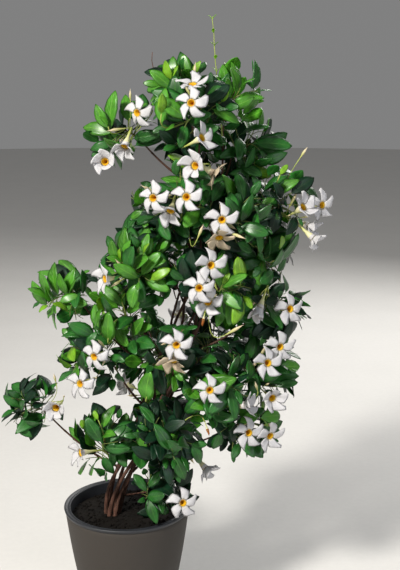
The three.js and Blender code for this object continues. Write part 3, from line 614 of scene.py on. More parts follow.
def turned(centres, axes, radii, depths, sides):
    """Rings about an axis: radius towards each side and depth along the axis. The profile runs from the
    inside over the rim and down the outside. axes: (along, across, face), each (copies, 3)."""
    along, across, face = (np.asarray(axis)[:, None, None] for axis in axes)
    angle = (np.arange(sides) * 2 * np.pi / sides)[:, None]
    out = np.cos(angle) * across + np.sin(angle) * face
    radii, depths = (np.asarray(values)[..., :, None, None] for values in (radii, depths))
    points = np.asarray(centres)[:, None, None] + radii * out + depths * along
    bands, caps = ring_faces(points.shape[1], sides)
    return points.reshape(len(points), -1, 3), [bands[:, ::-1], caps[:, ::-1]]


def slabs(top, drop):
    """Thin closed sheets: a grid of points, a second grid inside its border moved by drop, and one rim.

    top: (copies, rows, columns, 3). drop: what a point of the underside is moved by, of the same shape.
    A face starts at the corner from which it is split, so both sides split alike and don't cross. The faces
    at the grid's corners split towards the inside.
    """
    copies, rows, columns, _ = top.shape
    number = np.arange(rows * columns).reshape(rows, columns)
    under = number.copy()
    under[1:-1, 1:-1] = rows * columns + np.arange((rows - 2) * (columns - 2)).reshape(rows - 2, -1)
    quads = [np.stack([n[:-1, :-1], n[1:, :-1], n[1:, 1:], n[:-1, 1:]], -1) for n in (number, under)]
    for side in quads:
        for row, column in ((0, -1), (-1, 0)):
            side[row, column] = np.roll(side[row, column], -1)
    upper, lower = (side.reshape(-1, 4) for side in quads)
    inner = (top + drop)[:, 1:-1, 1:-1].reshape(copies, -1, 3)
    points = np.concatenate([top.reshape(copies, -1, 3), inner], 1)
    return points, [np.concatenate([upper, lower[:, [0, 3, 2, 1]]])]


def ring_uv(shares, sides):
    """The share along a turned shape of each point in its rings, and half across."""
    return np.stack([np.repeat(shares, sides), np.full(len(shares) * sides, 0.5)], -1)


def slab_uv(u, v):
    """The shares u and v of a slab's points, in the order that slabs gives them."""
    grid = np.stack(np.meshgrid(u, v, indexing="ij"), -1)
    return np.concatenate([grid.reshape(-1, 2), grid[1:-1, 1:-1].reshape(-1, 2)])


def wander(*places):
    """A calm, repeatable waver between -1 and 1 from sines of mixed pitch."""
    total = sum((i + 1.0) * place for i, place in enumerate(places))
    return (np.sin(total) + 0.6 * np.sin(2.3 * total + 1.7) + 0.4 * np.sin(4.9 * total + 0.4)) / 2


# Materials


class Value:
    """A number in a material: Python's operators add the Math nodes."""

    def __init__(self, finish, socket):
        self.finish, self.socket = finish, socket

    def _math(self, operation, *values):
        node = self.finish.node("ShaderNodeMath", {"operation": operation}, dict(enumerate(values)))
        return Value(self.finish, node.outputs[0])

    def __add__(self, other):
        return self._math("ADD", self, other)

    def __sub__(self, other):
        return self._math("SUBTRACT", self, other)

    def __mul__(self, other):
        return self._math("MULTIPLY", self, other)

    def within(self, low, high):
        """Rises from 0 at low to 1 at high, and falls where low is the greater."""
        node = self.finish.node(
            "ShaderNodeMapRange",
            {"interpolation_type": "SMOOTHSTEP"},
            {"Value": self, "From Min": low, "From Max": high},
        )
        return Value(self.finish, node.outputs["Result"])

    def wave(self):
        return self._math("SINE", self)

    def size(self):
        return self._math("ABSOLUTE", self)


SOCKETS = {"coat": "Coat Weight", "coat_roughness": "Coat Roughness", "specular": "Specular IOR Level"}


class Finish:
    """A material in the making."""

    def __init__(self, name):
        self.material = bpy.data.materials.new(name)
        self.material.use_nodes = True
        self.tree = self.material.node_tree
        self.tree.nodes.clear()

    def node(self, kind, settings=None, inputs=None):
        """Adds a node: its settings first, then the values or links of its sockets."""
        node = self.tree.nodes.new(kind)
        for name, value in (settings or {}).items():
            setattr(node, name, value)
        for name, value in (inputs or {}).items():
            value = value.socket if isinstance(value, Value) else value
            if isinstance(value, bpy.types.NodeSocket):
                self.tree.links.new(value, node.inputs[name])
            else:
                node.inputs[name].default_value = value
        return node

    def place(self):
        return self.node("ShaderNodeTexCoord").outputs["Object"]

    def stretched(self, scale):
        return self.node("ShaderNodeMapping", inputs={"Vector": self.place(), "Scale": scale}).outputs[0]

    def noise(self, scale, detail=3.0, rough=0.55, vector=None):
        inputs = {"Vector": vector or self.place(), "Scale": scale, "Detail": detail, "Roughness": rough}
        return Value(self, self.node("ShaderNodeTexNoise", inputs=inputs).outputs["Fac"])

    def cells(self, scale):
        node = self.node("ShaderNodeTexVoronoi", inputs={"Vector": self.place(), "Scale": scale})
        return Value(self, node.outputs["Distance"])

    def along_across(self):
        """The shares along and across a leaf or petal, from its own map."""
        chart = self.node("ShaderNodeUVMap", {"uv_map": "along_across"})
        parts = self.node("ShaderNodeSeparateXYZ", inputs={0: chart.outputs[0]})
        return Value(self, parts.outputs[0]), Value(self, parts.outputs[1])

    def mix(self, share, first, second):
        inputs = {0: share, 6: shade(first), 7: shade(second)}
        return self.node("ShaderNodeMix", {"data_type": "RGBA"}, inputs).outputs[2]

    def bump(self, height, distance, strength=1.0):
        inputs = {"Height": height, "Distance": distance, "Strength": strength}
        return self.node("ShaderNodeBump", inputs=inputs).outputs[0]

    def surface(self, colour, roughness, normal=None, through=None, share=0.0, **constants):
        """Joins a Principled shader to the output, with a share of light let through where one is given."""
        inputs = {"Base Color": shade(colour), "Roughness": roughness}
        inputs.update({SOCKETS[name]: value for name, value in constants.items()})
        if normal is not None:
            inputs["Normal"] = normal
        shader = self.node("ShaderNodeBsdfPrincipled", inputs=inputs).outputs[0]
        if through is not None:
            glow = self.node("ShaderNodeBsdfTranslucent", inputs={"Color": shade(through)}).outputs[0]
            shader = self.node("ShaderNodeMixShader", inputs={0: share, 1: shader, 2: glow}).outputs[0]
        self.node("ShaderNodeOutputMaterial", inputs={"Surface": shader})
        return self.material


def shade(colour):
    """A colour of three numbers gets its fourth; a socket stays as it is."""
    return colour if isinstance(colour, bpy.types.NodeSocket) else (*tuple(colour)[:3], 1.0)


def scaled(colour, by):
    return tuple(min(1.0, channel * by) for channel in tuple(colour)[:3])


def leaf_finishes(name, colour, gloss, veins, sheen):
    """The upper side and the underside of a leaf: a pale midrib and side veins, and uneven green between."""
    made = []
    for side, tone, roughness in (("upper", 1.0, gloss), ("under", 1.6, 0.6)):
        finish = Finish(f"{name}_{side}")
        along, across = finish.along_across()
        off = (across - 0.5).size() * 2.0
        midrib = off.within(0.09, 0.02)
        ribs = ((along * 46.0 - off * 15.0).wave()).within(0.82, 1.0) * off.within(1.0, 0.4)
        mottle = finish.noise(34.0)
        green = finish.mix(mottle.within(0.3, 0.7), scaled(colour, 0.6 * tone), scaled(colour, 1.4 * tone))
        vein = scaled((colour[0] * 1.9 + 0.03, colour[1] * 1.5 + 0.04, colour[2] * 1.6 + 0.008), tone)
        green = finish.mix(midrib * veins + ribs * (veins * 0.5), green, vein)
        height = mottle * 0.3 - midrib * 0.7 - ribs * 0.45
        upper = side == "upper"
        made.append(
            finish.surface(
                green,
                finish.noise(90.0) * 0.16 + (roughness - 0.08),
                finish.bump(height, 0.0010, 0.6),
                through=scaled((colour[0] * 2.4 + 0.02, colour[1] * 2.0, colour[2]), 1.2),
                share=0.20,
                specular=0.30 if upper else 0.2,
                coat=sheen if upper else 0.0,
                coat_roughness=0.30,
            )
        )
    return made


def bark_finish(name, colour):
    """Thin bark: long fine fibres, paler specks and darker cracks."""
    finish = Finish(name)
    fibre = finish.noise(260.0, 4.0, vector=finish.stretched((1.0, 1.0, 0.12)))
    speck = finish.cells(420.0).within(0.3, 0.12)
    tone = finish.mix(fibre.within(0.3, 0.7), scaled(colour, 0.45), scaled(colour, 1.5))
    tone = finish.mix(speck * 0.5, tone, (0.30, 0.20, 0.13))
    normal = finish.bump(fibre + speck * 0.5, 0.0006, 0.8)
    return finish.surface(tone, fibre * 0.3 + 0.55, normal, specular=0.3)


def green_stalk_finish(name, colour):
    finish = Finish(name)
    tone = finish.mix(finish.noise(60.0), scaled(colour, 0.7), scaled(colour, 1.3))
    rough = finish.noise(150.0) * 0.2 + 0.4
    return finish.surface(tone, rough, through=scaled(colour, 1.6), share=0.12, specular=0.35)


def petal_finish(name, colour, streaks, share=0.3):
    """A petal: faint streaks that fan out from the throat, a greener root and a soft, uneven white."""
    finish = Finish(name)
    along, across = finish.along_across()
    lines = (across * 58.0 + along * 6.0).wave().within(0.1, 1.0)
    cloud = finish.noise(70.0)
    tone = finish.mix(cloud.within(0.35, 0.75) * 0.5 + lines * streaks, colour, scaled(colour, 0.74))
    tone = finish.mix(along.within(0.16, 0.0) * 0.5, tone, (0.86, 0.74, 0.36))
    normal = finish.bump(lines * 0.5 + cloud, 0.0006, 0.6)
    return finish.surface(
        tone, cloud * 0.2 + 0.45, normal, through=scaled(colour, 0.95), share=share, specular=0.3
    )


def throat_finish(name, colour):
    """The throat's inside: gold at the rim, orange and then brown towards the bottom, with fine streaks. The
    brown at the bottom is painted shade in the deep funnel.
    """
    finish = Finish(name)
    along, _ = finish.along_across()
    lines = finish.noise(600.0)
    red, green, blue = colour
    # Painted shade: brown at the bottom of the throat.
    brown = scaled((red, green * 0.5, blue), 0.6)
    orange = scaled((red, green * 0.8, blue), 0.9)
    tone = finish.mix(along.within(0.05, 0.20), brown, colour)
    tone = finish.mix(lines.within(0.45, 0.7) * 0.3, tone, orange)
    return finish.surface(tone, lines * 0.2 + 0.5, through=colour, share=0.2, specular=0.2)


def fading_finish(name, first, second, start, stop, share=0.15):
    """A smooth passage along the shape from one colour to the other, as on a tube or a bud."""
    finish = Finish(name)
    along, _ = finish.along_across()
    cloud = finish.noise(160.0)
    tone = finish.mix(along.within(start, stop), first, second)
    tone = finish.mix(cloud * 0.5, tone, scaled(second, 0.75))
    return finish.surface(tone, cloud * 0.2 + 0.4, through=first, share=share, specular=0.3)


def plain_finish(name, colour, grain, depth, roughness, contrast=0.25, specular=0.5):
    """A moulded or earthy surface: two sizes of grain in its colour, roughness and relief."""
    finish = Finish(name)
    fine, broad = finish.noise(grain), finish.noise(grain / 14.0, 4.0)
    share = (fine * 0.5 + broad * 0.5).within(0.35, 0.65)
    tone = finish.mix(share, scaled(colour, 1 - contrast), scaled(colour, 1 + contrast))
    normal = finish.bump(fine, depth, 0.6)
    return finish.surface(tone, broad * 0.2 + (roughness - 0.1), normal, specular=specular)


# Blooms


class Bloom(NamedTuple):
    """A bloom: its centre, the axes along its facing, its openness from 0 to 1, its stalk, whether it has
    faded, and its size beside that of a fresh one."""

    centre: np.ndarray
    axes: tuple
    openness: float
    stalk: Bend
    faded: bool
    size: float


def bloom_at(flower, draw, size):
    """A bloom faces out of the crown and, unless it is behind, to the light in front."""
    centre = np.array(flower.spot)
    facing = unit((centre - column_at(centre[2])) * (1, 1, 0))
    if centre[1] < TO_LIGHT["behind"]:
        facing = facing + FRONT * TO_LIGHT["front"]
    facing = unit(facing + (draw.sway() + UP * BLOOM["rise"]) * SWAY["bloom"])
    if flower.facing:
        facing = unit(np.array(flower.facing))
    tube_end = centre - facing * BLOOM["tube"] * size
    stalk = line_to(tube_end, facing, nearest_mass(centre), BLOOM["straight"])
    return Bloom(centre, frame_of(facing, UP), flower.openness, stalk, flower.faded, size)


def blooms_of(flowers, kind, size=1.0):
    return [bloom_at(flower, draws_of(kind, i), size) for i, flower in enumerate(flowers)]


def all_blooms():
    """The blooms that the solids have and those that are made here only."""
    return blooms_of((*BLOOMS, *MORE_BLOOMS), "bloom")


# Half widths at the root and the end, shares by which the end falls off to its sides, and draws of each petal
PETAL = {
    "root": 0.0044, "width": 0.0132, "cup": 0.25, "swirl": 0.20, "leading": 0.30, "trailing": 0.16,
    "point": (0.66, 1.05), "notch": (0.0, 0.06), "lean": (0.7, 1.1),
    "reach": (0.94, 1.0), "lift": (-0.15, 0.12),
    "fall": (0.05, 0.50), "twist": (0.0008, 0.0034), "curl": (0.0004, 0.0034), "turn": (-0.07, 0.07),
    "ruffle": 0.0012, "thick": 0.0006, "closed": 2.0, "narrowest": 0.006, "beyond_point": 0.35,
    "flare": 0.55, "blunt": 1.2, "waves": (5, 3.4), "phase": (0, 6), "withered_ruffle": 2.5,
}
PETALS = 5
PETAL_GRID = (7, 7)


def petal_grids(bloom, radius, draw, ruffle):
    """Five petals as grids. A petal runs out from the throat by a share s and across by v from -1 to 1.

    Its half width grows with s^0.55, more so in a bloom that is half closed. It ends askew, as on a pinwheel:
    it reaches furthest at a point near its trailing side, and its edge falls off to both sides of that. It
    leans by the bloom's openness, falls back as s grows, twists with v, curls with v^2 and ruffles with a
    sine, and no two petals do so alike.
    """
    draw()
    turn = draw(0, FIFTH)
    rows, columns = PETAL_GRID
    s = np.linspace(0, 1, rows)[:, None]
    v = np.linspace(-1, 1, columns)[None]
    closed = 1 - bloom.openness
    width = lerp(PETAL["root"], PETAL["width"] * (1 + PETAL["cup"] * closed), s ** PETAL["flare"])
    along_wave, across_wave = PETAL["waves"]
    grids = []
    for petal in range(PETALS):
        point = draw(*PETAL["point"])
        notch = draw(*PETAL["notch"])
        leading = PETAL["leading"] * draw(*PETAL["lean"]) * ((point - v) / (1 + point))
        trailing = PETAL["trailing"] * (v - point) / PETAL["beyond_point"]
        askew = 1 - np.where(v < point, leading, trailing) - notch * (1 - v**2)
        length = radius * draw(*PETAL["reach"]) * lerp(1.0, askew, smooth(s * PETAL["blunt"]))
        length = length - BLOOM["throat"]
        lift = closed * PETAL["closed"] + draw(*PETAL["lift"])
        tilt = lift - draw(*PETAL["fall"]) * ruffle * bloom.openness * s
        reach = BLOOM["throat"] + length * s * np.cos(tilt)
        depth = length * s * np.sin(tilt) + s * (draw(*PETAL["twist"]) * v - draw(*PETAL["curl"]) * v**2)
        wave = np.sin(along_wave * s + across_wave * v + draw(*PETAL["phase"]))
        depth = depth + PETAL["ruffle"] * ruffle * s * wave
        angle = FIFTH * petal + turn + draw(*PETAL["turn"]) + PETAL["swirl"] * s**2
        angle = angle + width * v / np.maximum(reach, PETAL["narrowest"])
        grids.append(np.stack([depth, reach * np.cos(angle), reach * np.sin(angle)], -1))
    return np.stack(grids)


def placed(grids, centre, axes):
    """Grids of (along, across, face) moved to their bloom's place."""
    along, across, face = axes
    return centre + grids[..., :1] * along + grids[..., 1:2] * across + grids[..., 2:] * face


# Radius and depth in mm, from the bottom of the throat to its rim, and then over the bell to the tube's end
THROAT = ((0.4, -15), (2.6, -12), (4.8, -7), (6.6, -2.8), (8.0, 0.3))
BELL = ((8.4, -0.8), (7.4, -7))
TUBE = ((5.6, -15), (3.5, -23), (2.7, -33), (1.9, -42), (1.3, -46.5))
PETAL_SLOT, THROAT_SLOT, TUBE_SLOT, FADED_SLOT = range(4)


def add_bloom(joined, bloom, radius, draw, ruffle):
    """Five petals, whose undersides lie square behind them, and a throat that goes over its rim into the bell
    and the narrow tube behind."""
    petal_slot = FADED_SLOT if bloom.faded else PETAL_SLOT
    grids = placed(petal_grids(bloom, radius, draw, ruffle) * bloom.size, bloom.centre, bloom.axes)
    outwards, sideways = np.gradient(grids, axis=(1, 2))
    points, faces = slabs(grids, unit(np.cross(outwards, sideways)) * -PETAL["thick"])
    joined.add(points, faces, petal_slot, slab_uv(*(np.linspace(0, 1, number) for number in PETAL_GRID)))
    profile = np.array((*THROAT, *BELL, *TUBE)) * MM * bloom.size
    axes = [axis[None] for axis in bloom.axes]
    sides = SIDES["throat"]
    points, faces = turned(bloom.centre[None], axes, profile[None, :, 0], profile[None, :, 1], sides)
    bands = (len(THROAT) - 1, len(BELL), len(TUBE))
    slots = np.repeat((THROAT_SLOT, petal_slot, TUBE_SLOT), np.array(bands) * sides)
    slots = np.concatenate([slots, [THROAT_SLOT, TUBE_SLOT]])[None]
    joined.add(points, faces, slots, ring_uv(np.linspace(0, 1, len(profile)), sides))


def bud_shapes(blooms):
    """Slender pointed buds: some on long stalks of their own, others on short ones from a bloom's stalk."""
    stalks, buds = [], []
    for bud in BUDS:
        neck, heading = np.array(bud.neck), unit(np.array(bud.heading))
        stalks.append(line_to(neck, heading, nearest_mass(neck), BLOOM["straight"]))
        buds.append((neck, heading, bud.length))
    for index, bloom in enumerate(blooms):
        draw = draws_of("bud", index)
        knot = bloom.stalk.at(BUD["knot"])
        along, across, face = bloom.axes
        for _ in range(int(draw(*BUD["number"]))):
            turn = draw(0, 2 * math.pi)
            spread = draw(*BUD["spread"])
            out = math.cos(turn) * across + math.sin(turn) * face
            heading = unit(along + spread * out + UP * BUD["rise"])
            neck = knot + heading * draw(*BUD["neck"])
            length = draw(*BUD["length"])
            if meets_bloom(along_bud(neck, heading, length), blooms):
                continue
            stalks.append(Bend(knot, lerp(knot, neck, 0.5) - UP * BUD["sag"], neck))
            buds.append((neck, heading, length))
    return stalks, buds


def along_bud(neck, heading, length):
    return neck + heading * np.linspace(0, length, SAMPLED["bud"])[:, None]


def beside_bloom(points, centre, facing):
    """How far points are from a bloom's centre, along its facing and beside it."""
    offset = points - centre
    height = (offset * facing).sum(-1)
    return height, np.linalg.norm(offset - height[..., None] * facing, axis=-1)


def meets_bloom(points, blooms):
    """Whether a point lies in the petals of a bloom, which rise as it closes, or in its throat."""
    for bloom in blooms:
        height, aside = beside_bloom(points, bloom.centre, bloom.axes[0])
        petals = aside * math.tan(min(BUD["steepest"], (1 - bloom.openness) * PETAL["closed"]))
        face = (np.abs(height - petals) < BUD["off_petal"]) & (aside < BUD["off_centre"])
        throat = (height < BUD["over_throat"]) & (height > -BUD["in_tube"])
        if (face | (throat & (aside < BLOOM["throat"] + BUD["off_throat"]))).any():
            return True
    return False


BUD_STEPS = np.array((0.0, 0.05, 0.18, 0.34, 0.5, 0.66, 0.8, 0.92, 1.0))
BUD_FORM = {"root": 0.22, "swell": 0.78, "swells_by": 0.62, "close": 0.96, "closes_from": 0.55, "over": 0.45}


def add_buds(joined, buds):
    """A bud swells from its root, closes to a point from a little past half of its length, and is thicker
    where it is longer."""
    necks, headings, lengths = (np.array(part) for part in zip(*buds))
    swell = BUD_FORM["root"] + BUD_FORM["swell"] * smooth(BUD_STEPS / BUD_FORM["swells_by"])
    swell = swell - BUD_FORM["close"] * smooth((BUD_STEPS - BUD_FORM["closes_from"]) / BUD_FORM["over"])
    radii = lerp(*BUD["radius"], smooth((lengths - BUD["small"]) / BUD["grows"]))[:, None] * swell
    depths = lengths[:, None] * BUD_STEPS
    sides = SIDES["bud"]
    points, faces = turned(necks, frame_of(headings, UP), radii[:, ::-1], depths[:, ::-1], sides)
    joined.add(points, faces, 0, ring_uv(BUD_STEPS[::-1], sides))


# Growing the crown


class Leaf(NamedTuple):
    """A leaf: its root, the axes along it, across it and out of its face, its length, and its age, whose
    darkest tint is partly painted shade.
    """

    root: np.ndarray
    axes: tuple
    length: float
    age: int


# The first tint, the darkest, is partly the dark green of old leaves and partly painted shade.
OLD_AND_SHADED, GREEN, FRESH, YOUNG = range(4)
# Shares of the sprays and leaves, and how far behind a mass's heart its outside begins. Sprays behind and
# below the heart, and some others, take the darkest tint as painted shade. More of them do in a mass with no
# more fresh sprays than "shady", which stands in the shade of others.
AGE_AND_SHADE = {"half_open": 0.4, "behind": 0.02, "green": 0.72, "green_in_shade": 0.45, "shady": 0.12}


def corners_of(leaf):
    """The outline of a leaf and the crest of its midrib, as seven points."""
    along, across, face = leaf.axes
    half = LEAF["width"] * leaf.length / 2
    drop = LEAF["droop"] * leaf.length
    u, v, w = np.array(OUTLINE).T[:, :, None]
    outline = leaf.root + u * leaf.length * along + v * half * across - w * drop * face
    lift = LEAF["arch"] * leaf.length - CREST["drop"] * drop
    crest = leaf.root + CREST["at"] * leaf.length * along + lift * face
    return np.vstack([outline, crest])


def pass_through(starts, ends, triangles):
    """Whether any line meets any triangle: the share along the line and the two shares across the triangle
    all lie between 0 and 1."""
    if not len(starts) or not len(triangles):
        return False
    corner, first, second = (triangles[:, i] for i in range(3))
    e1, e2 = first - corner, second - corner
    along = (ends - starts)[:, None]
    h = np.cross(along, e2[None])
    size = (h * e1).sum(-1)
    size = np.where(np.abs(size) < NO_AREA, NO_AREA, size)
    offset = starts[:, None] - corner[None]
    u = (offset * h).sum(-1) / size
    q = np.cross(offset, e1[None])
    v = (along * q).sum(-1) / size
    t = (e2[None] * q).sum(-1) / size
    return bool(((u >= 0) & (v >= 0) & (u + v <= 1) & (t >= 0) & (t <= 1)).any())


class Room:
    """What leaves and twigs keep clear of, and the leaves that already grow."""

    def __init__(self, blooms):
        heights = [np.linspace(SOIL["top"], top, SAMPLED["stem"]) for top in STEM_TOPS]
        stems = [stem_at(k, z) for k, z in enumerate(heights)]
        boughs = [bough.at(np.linspace(0, 1, SAMPLED["bough"])) for bough in BOUGHS.values()]
        shoots = [shoot.at(np.linspace(0, 1, SAMPLED["shoot"])) for shoot in SHOOTS]
        lines = [*stems, *boughs, *shoots, LEADER_LINE.at(np.linspace(0, 1, SAMPLED["leader"]))]
        lengths = [len(points) for points in lines]
        radii = (ROOM["stem"], BOUGH["radius"], SHOOT["radius"], ROOM["leader"])
        self.limbs = np.concatenate(lines)
        self.radii = np.repeat(np.repeat(radii, (len(stems), len(boughs), len(shoots), 1)), lengths)
        self.owners = np.repeat(np.arange(len(lines)) - len(stems) - len(boughs), lengths)
        self.centres = np.array([bloom.centre for bloom in blooms])
        self.facings = np.array([bloom.axes[0] for bloom in blooms])
        stalks, buds = bud_shapes(blooms)
        buds = [along_bud(*bud) for bud in buds]
        own = [bloom.stalk for bloom in blooms]
        self.stalks = np.concatenate([stalk.at(np.linspace(*SAMPLED_STALK)) for stalk in own] + buds)
        thin = [stalk.at(np.linspace(*SAMPLED_THIN)) for stalk in own + stalks]
        self.thin = np.concatenate([np.stack([points[:-1], points[1:]], 1) for points in thin + buds])
        self.corners = np.zeros((ROOM["leaves"], 7, 3))
        self.kept = 0
        to_gap = np.array([(x, 0.0, z) for (x, z), _ in GAPS]) - EYE
        self.sights = unit(to_gap)
        self.gap_radii = np.array([radius for _, radius in GAPS])

    def near_mass(self, index):
        """The limbs that pass through a mass's reach, without its own shoot, and their radii."""
        distance = np.linalg.norm(self.limbs - HEARTS[index], axis=1)
        chosen = (distance < MASSES[index].reach + ROOM["beyond"]) & (self.owners != index)
        return self.limbs[chosen], self.radii[chosen]

    def inside(self, index, points):
        """Within the reach, not far past the middle between two hearts, and over the planter."""
        away = np.delete(HEARTS, index, 0) - HEARTS[index]
        middle = HEARTS[index] + away / 2
        room = ((middle[None] - points[:, None]) * unit(away)[None]).sum(-1).min(1)
        near = np.linalg.norm(points - HEARTS[index], axis=1) < MASSES[index].reach
        over_soil = np.hypot(points[:, 0], points[:, 1]) < LINER["radius"] - 2 * LINER["lip"]
        floor = np.where(over_soil, SOIL["top"] + SOIL["dome"], LINER["top"]) + CLEAR["planter"]
        return bool((near & (room > -GROWTH["spill"]) & (points[:, 2] > floor)).all())

    def in_gap(self, points):
        """Whether a point hides one of the gaps, seen from the front."""
        offset = points[:, None] - EYE
        beside = offset - (offset * self.sights).sum(-1, keepdims=True) * self.sights
        return bool((np.linalg.norm(beside, axis=-1) < self.gap_radii).any())

    def hides_bloom(self, points, in_front):
        """Whether a point lies in a bloom, just in front of it, or on a tube, a stalk or a bud."""
        height, aside = beside_bloom(points[:, None], self.centres, self.facings)
        face = (height > -CLEAR["bloom"]) & (height < in_front) & (aside < CLEAR["petals"])
        tube = (height < 0) & (height > -BLOOM["tube"]) & (aside < CLEAR["tube"])
        stalk = np.linalg.norm(points[:, None] - self.stalks, axis=-1) < CLEAR["stalk"]
        return bool((face | tube).any() or stalk.any())

    def pierced(self, corners):
        """Whether a stalk or a bud passes through a leaf."""
        near = self.thin[np.linalg.norm(self.thin[:, 0] - corners[6], axis=1) < ROOM["near_stalk"]]
        return pass_through(near[:, 0], near[:, 1], corners[FACETS])

    def crowded(self, corners):
        """Whether a leaf lies on, or passes through, one that already grows."""
        gone = self.corners[: self.kept]
        distance = np.linalg.norm(gone[:, 6] - corners[6], axis=1)
        if (distance < CLEAR["crest"]).any():
            return True
        near = gone[distance < ROOM["near_leaf"]]
        theirs, own = near[:, RIBS].reshape(-1, 2, 3), corners[RIBS]
        own_pass = pass_through(own[1:, 0], own[1:, 1], near[:, FACETS].reshape(-1, 3, 3))
        return own_pass or pass_through(theirs[:, 0], theirs[:, 1], corners[FACETS])

    def cut_leaf(self, points):
        """Whether a twig passes through a leaf that already grows."""
        gone = self.corners[: self.kept]
        near = gone[np.linalg.norm(gone[:, 6] - points[len(points) // 2], axis=1) < ROOM["near_twig"]]
        return pass_through(points[:-1], points[1:], near[:, FACETS].reshape(-1, 3, 3))

    def keep(self, corners):
        self.corners[self.kept] = corners
        self.kept += 1


def light_on(mass):
    """Where a mass's leaves look for light: out from the stems, and to the front unless it is behind."""
    heart = np.array(mass.heart)
    outward = unit((heart - column_at(heart[2])) * (1, 1, 0))
    front = FACING["front"] if heart[1] < TO_LIGHT["behind"] else 0.0
    return outward * FACING["out"] + FRONT * front


def spray_twig(spray):
    """The twig of a young shoot rises to its tip and leans a little to the front."""
    tip = np.array(spray.tip)
    heading = unit(np.array((spray.lean, -YOUNG_TWIG["forward"], 1.0)))
    return line_to(tip, heading, nearest_mass(tip), YOUNG_TWIG["straight"])


class Crown:
    """Twigs as bends with their radii, and leaves, as they are found."""

    def __init__(self):
        self.twigs = []
        self.young = []
        self.leaves = []


class Patch:
    """A mass while it grows: its space, its own row of draws, and the limbs that pass near."""

    def __init__(self, room, index, crown, settings):
        self.room = room
        self.index = index
        self.mass = MASSES[index]
        self.crown = crown
        self.draw = draws_of("mass", index)
        self.limbs, self.radii = room.near_mass(index)
        starts, ends = self.limbs[:-1], self.limbs[1:]
        on_one_limb = np.linalg.norm(ends - starts, axis=1) < ROOM["step"]
        self.steps = (starts[on_one_limb], ends[on_one_limb])
        self.light = light_on(self.mass)
        self.sizes = (settings.shortest, settings.longest)
        self.places = settings.sprays
        self.most = settings.most

    def grow(self):
        """Young shoots come first, then the other twigs, in an order that spreads them."""
        for spray in SPRAYS:
            if nearest_mass(spray.tip) == self.index:
                self.grow_spray(spray_twig(spray))
        grown = 0
        for number in range(self.places):
            if grown >= self.most:
                break
            twig = self.twig_at(number * GROWTH["order"] % self.places)
            turn = self.draw(0, math.pi)
            age = self.age_and_shade_of(twig.end)
            if self.twig_fits(twig, TWIG["covered"]):
                grown += self.grow_twig(twig, turn, age)

    def grow_spray(self, twig):
        """A young shoot with its erect leaves and the smallest pair at its tip."""
        self.crown.young.append((twig, YOUNG_TWIG["radius"], YOUNG_TWIG["tip"]))
        turn = self.draw(-YOUNG_TWIG["turn"], YOUNG_TWIG["turn"])
        for joints, age in ((ERECT_JOINTS, FRESH), ((TIP_PAIR,), YOUNG)):
            self.grow_pairs(twig, joints, YOUNG_TWIG["scale"], age, turn)

    def grow_twig(self, twig, turn, age):
        """A twig's leaves, its side twigs with theirs, and a small pair at its tip."""
        grown = self.grow_pairs(twig, JOINTS, 1.0, age, turn)
        if not grown:
            return 0
        self.crown.twigs.append((twig, TWIG["radius"], TWIG["tip"]))
        for at in SIDE_TWIG["at"]:
            side = self.side_twig(twig, at, turn)
            if not self.twig_fits(side, SIDE_TWIG["covered"]):
                continue
            more = self.grow_pairs(side, SIDE_JOINTS, SIDE_TWIG["scale"], age, turn)
            if more:
                self.crown.twigs.append((side, SIDE_TWIG["radius"], SIDE_TWIG["tip"]))
            grown += more
        self.grow_pairs(twig, (TIP_PAIR,), 1.0, max(age, GREEN), turn + 1)
        return grown

    def grow_pairs(self, twig, joints, scale, age, turn):
        """Tries the pairs of one twig and counts the leaves that find room."""
        grown = 0
        for number, joint in enumerate(joints):
            last = number == len(joints) - 1
            tint = YOUNG if age == FRESH and last and self.draw() < AGE_AND_SHADE["half_open"] else age
            pair_turn = turn + number * math.pi / 2 + self.draw(-0.5, 0.5) * SWAY["pair"]
            pair = self.leaf_pair(twig, joint, pair_turn, scale, tint)
            grown += sum(self.try_leaf(leaf) for leaf in pair)
        return grown

    def try_leaf(self, leaf):
        """Keeps a leaf at full size or smaller, if it fits."""
        for size in TRIED:
            tried = leaf._replace(length=leaf.length * size)
            corners = corners_of(tried)
            if self.leaf_fits(corners):
                self.crown.leaves.append(tried)
                self.room.keep(corners)
                return True
        return False

    def leaf_pair(self, twig, joint, turn, scale, age):
        """Two opposite leaves that spread from the twig and face out along it, up and to the light."""
        tangent = twig.heading(joint.at)
        _, across, face = frame_of(tangent, UP)
        side = across * math.cos(turn) + face * math.sin(turn)
        pair = []
        for sign in (1, -1):
            length = self.draw(*self.sizes) * joint.scale * scale
            angle = joint.splay + self.draw(-0.5, 0.5) * SWAY["splay"]
            along = tangent * math.cos(angle) + side * (sign * math.sin(angle)) + UP * LEAF["rise"]
            facing = tangent * FACING["twig"] + UP * FACING["up"] + self.light
            facing = facing + self.draw.sway() * SWAY["leaf"]
            pair.append(Leaf(twig.at(joint.at), frame_of(along, facing), length, age))
        return pair

    def leaf_fits(self, corners):
        """A leaf keeps to its mass's space and clear of limbs, blooms, gaps and other leaves."""
        room = self.room
        if not room.inside(self.index, corners[1:]):
            return False
        samples = np.vstack([corners[1:], corners[RIBS].mean(1)[:6]])
        if room.in_gap(corners[1:]) or room.hides_bloom(samples, CLEAR["in_front"]) or room.pierced(corners):
            return False
        if self.touches_limb(samples, CLEAR["limb"]) or pass_through(*self.steps, corners[FACETS]):
            return False
        return not room.crowded(corners)

    def twig_fits(self, twig, covered):
        """A twig's free part keeps to the space, clear of limbs and blooms, and passes through no leaf."""
        room = self.room
        points = twig.at(np.linspace(covered, 1, SAMPLED["twig"]))
        if not room.inside(self.index, points) or room.hides_bloom(points, CLEAR["over_twig"]):
            return False
        return not (room.in_gap(points) or self.touches_limb(points, CLEAR["twig"]) or room.cut_leaf(points))

    def touches_limb(self, points, clear):
        distance = np.linalg.norm(points[:, None] - self.limbs, axis=-1)
        return bool((distance < self.radii + clear).any())

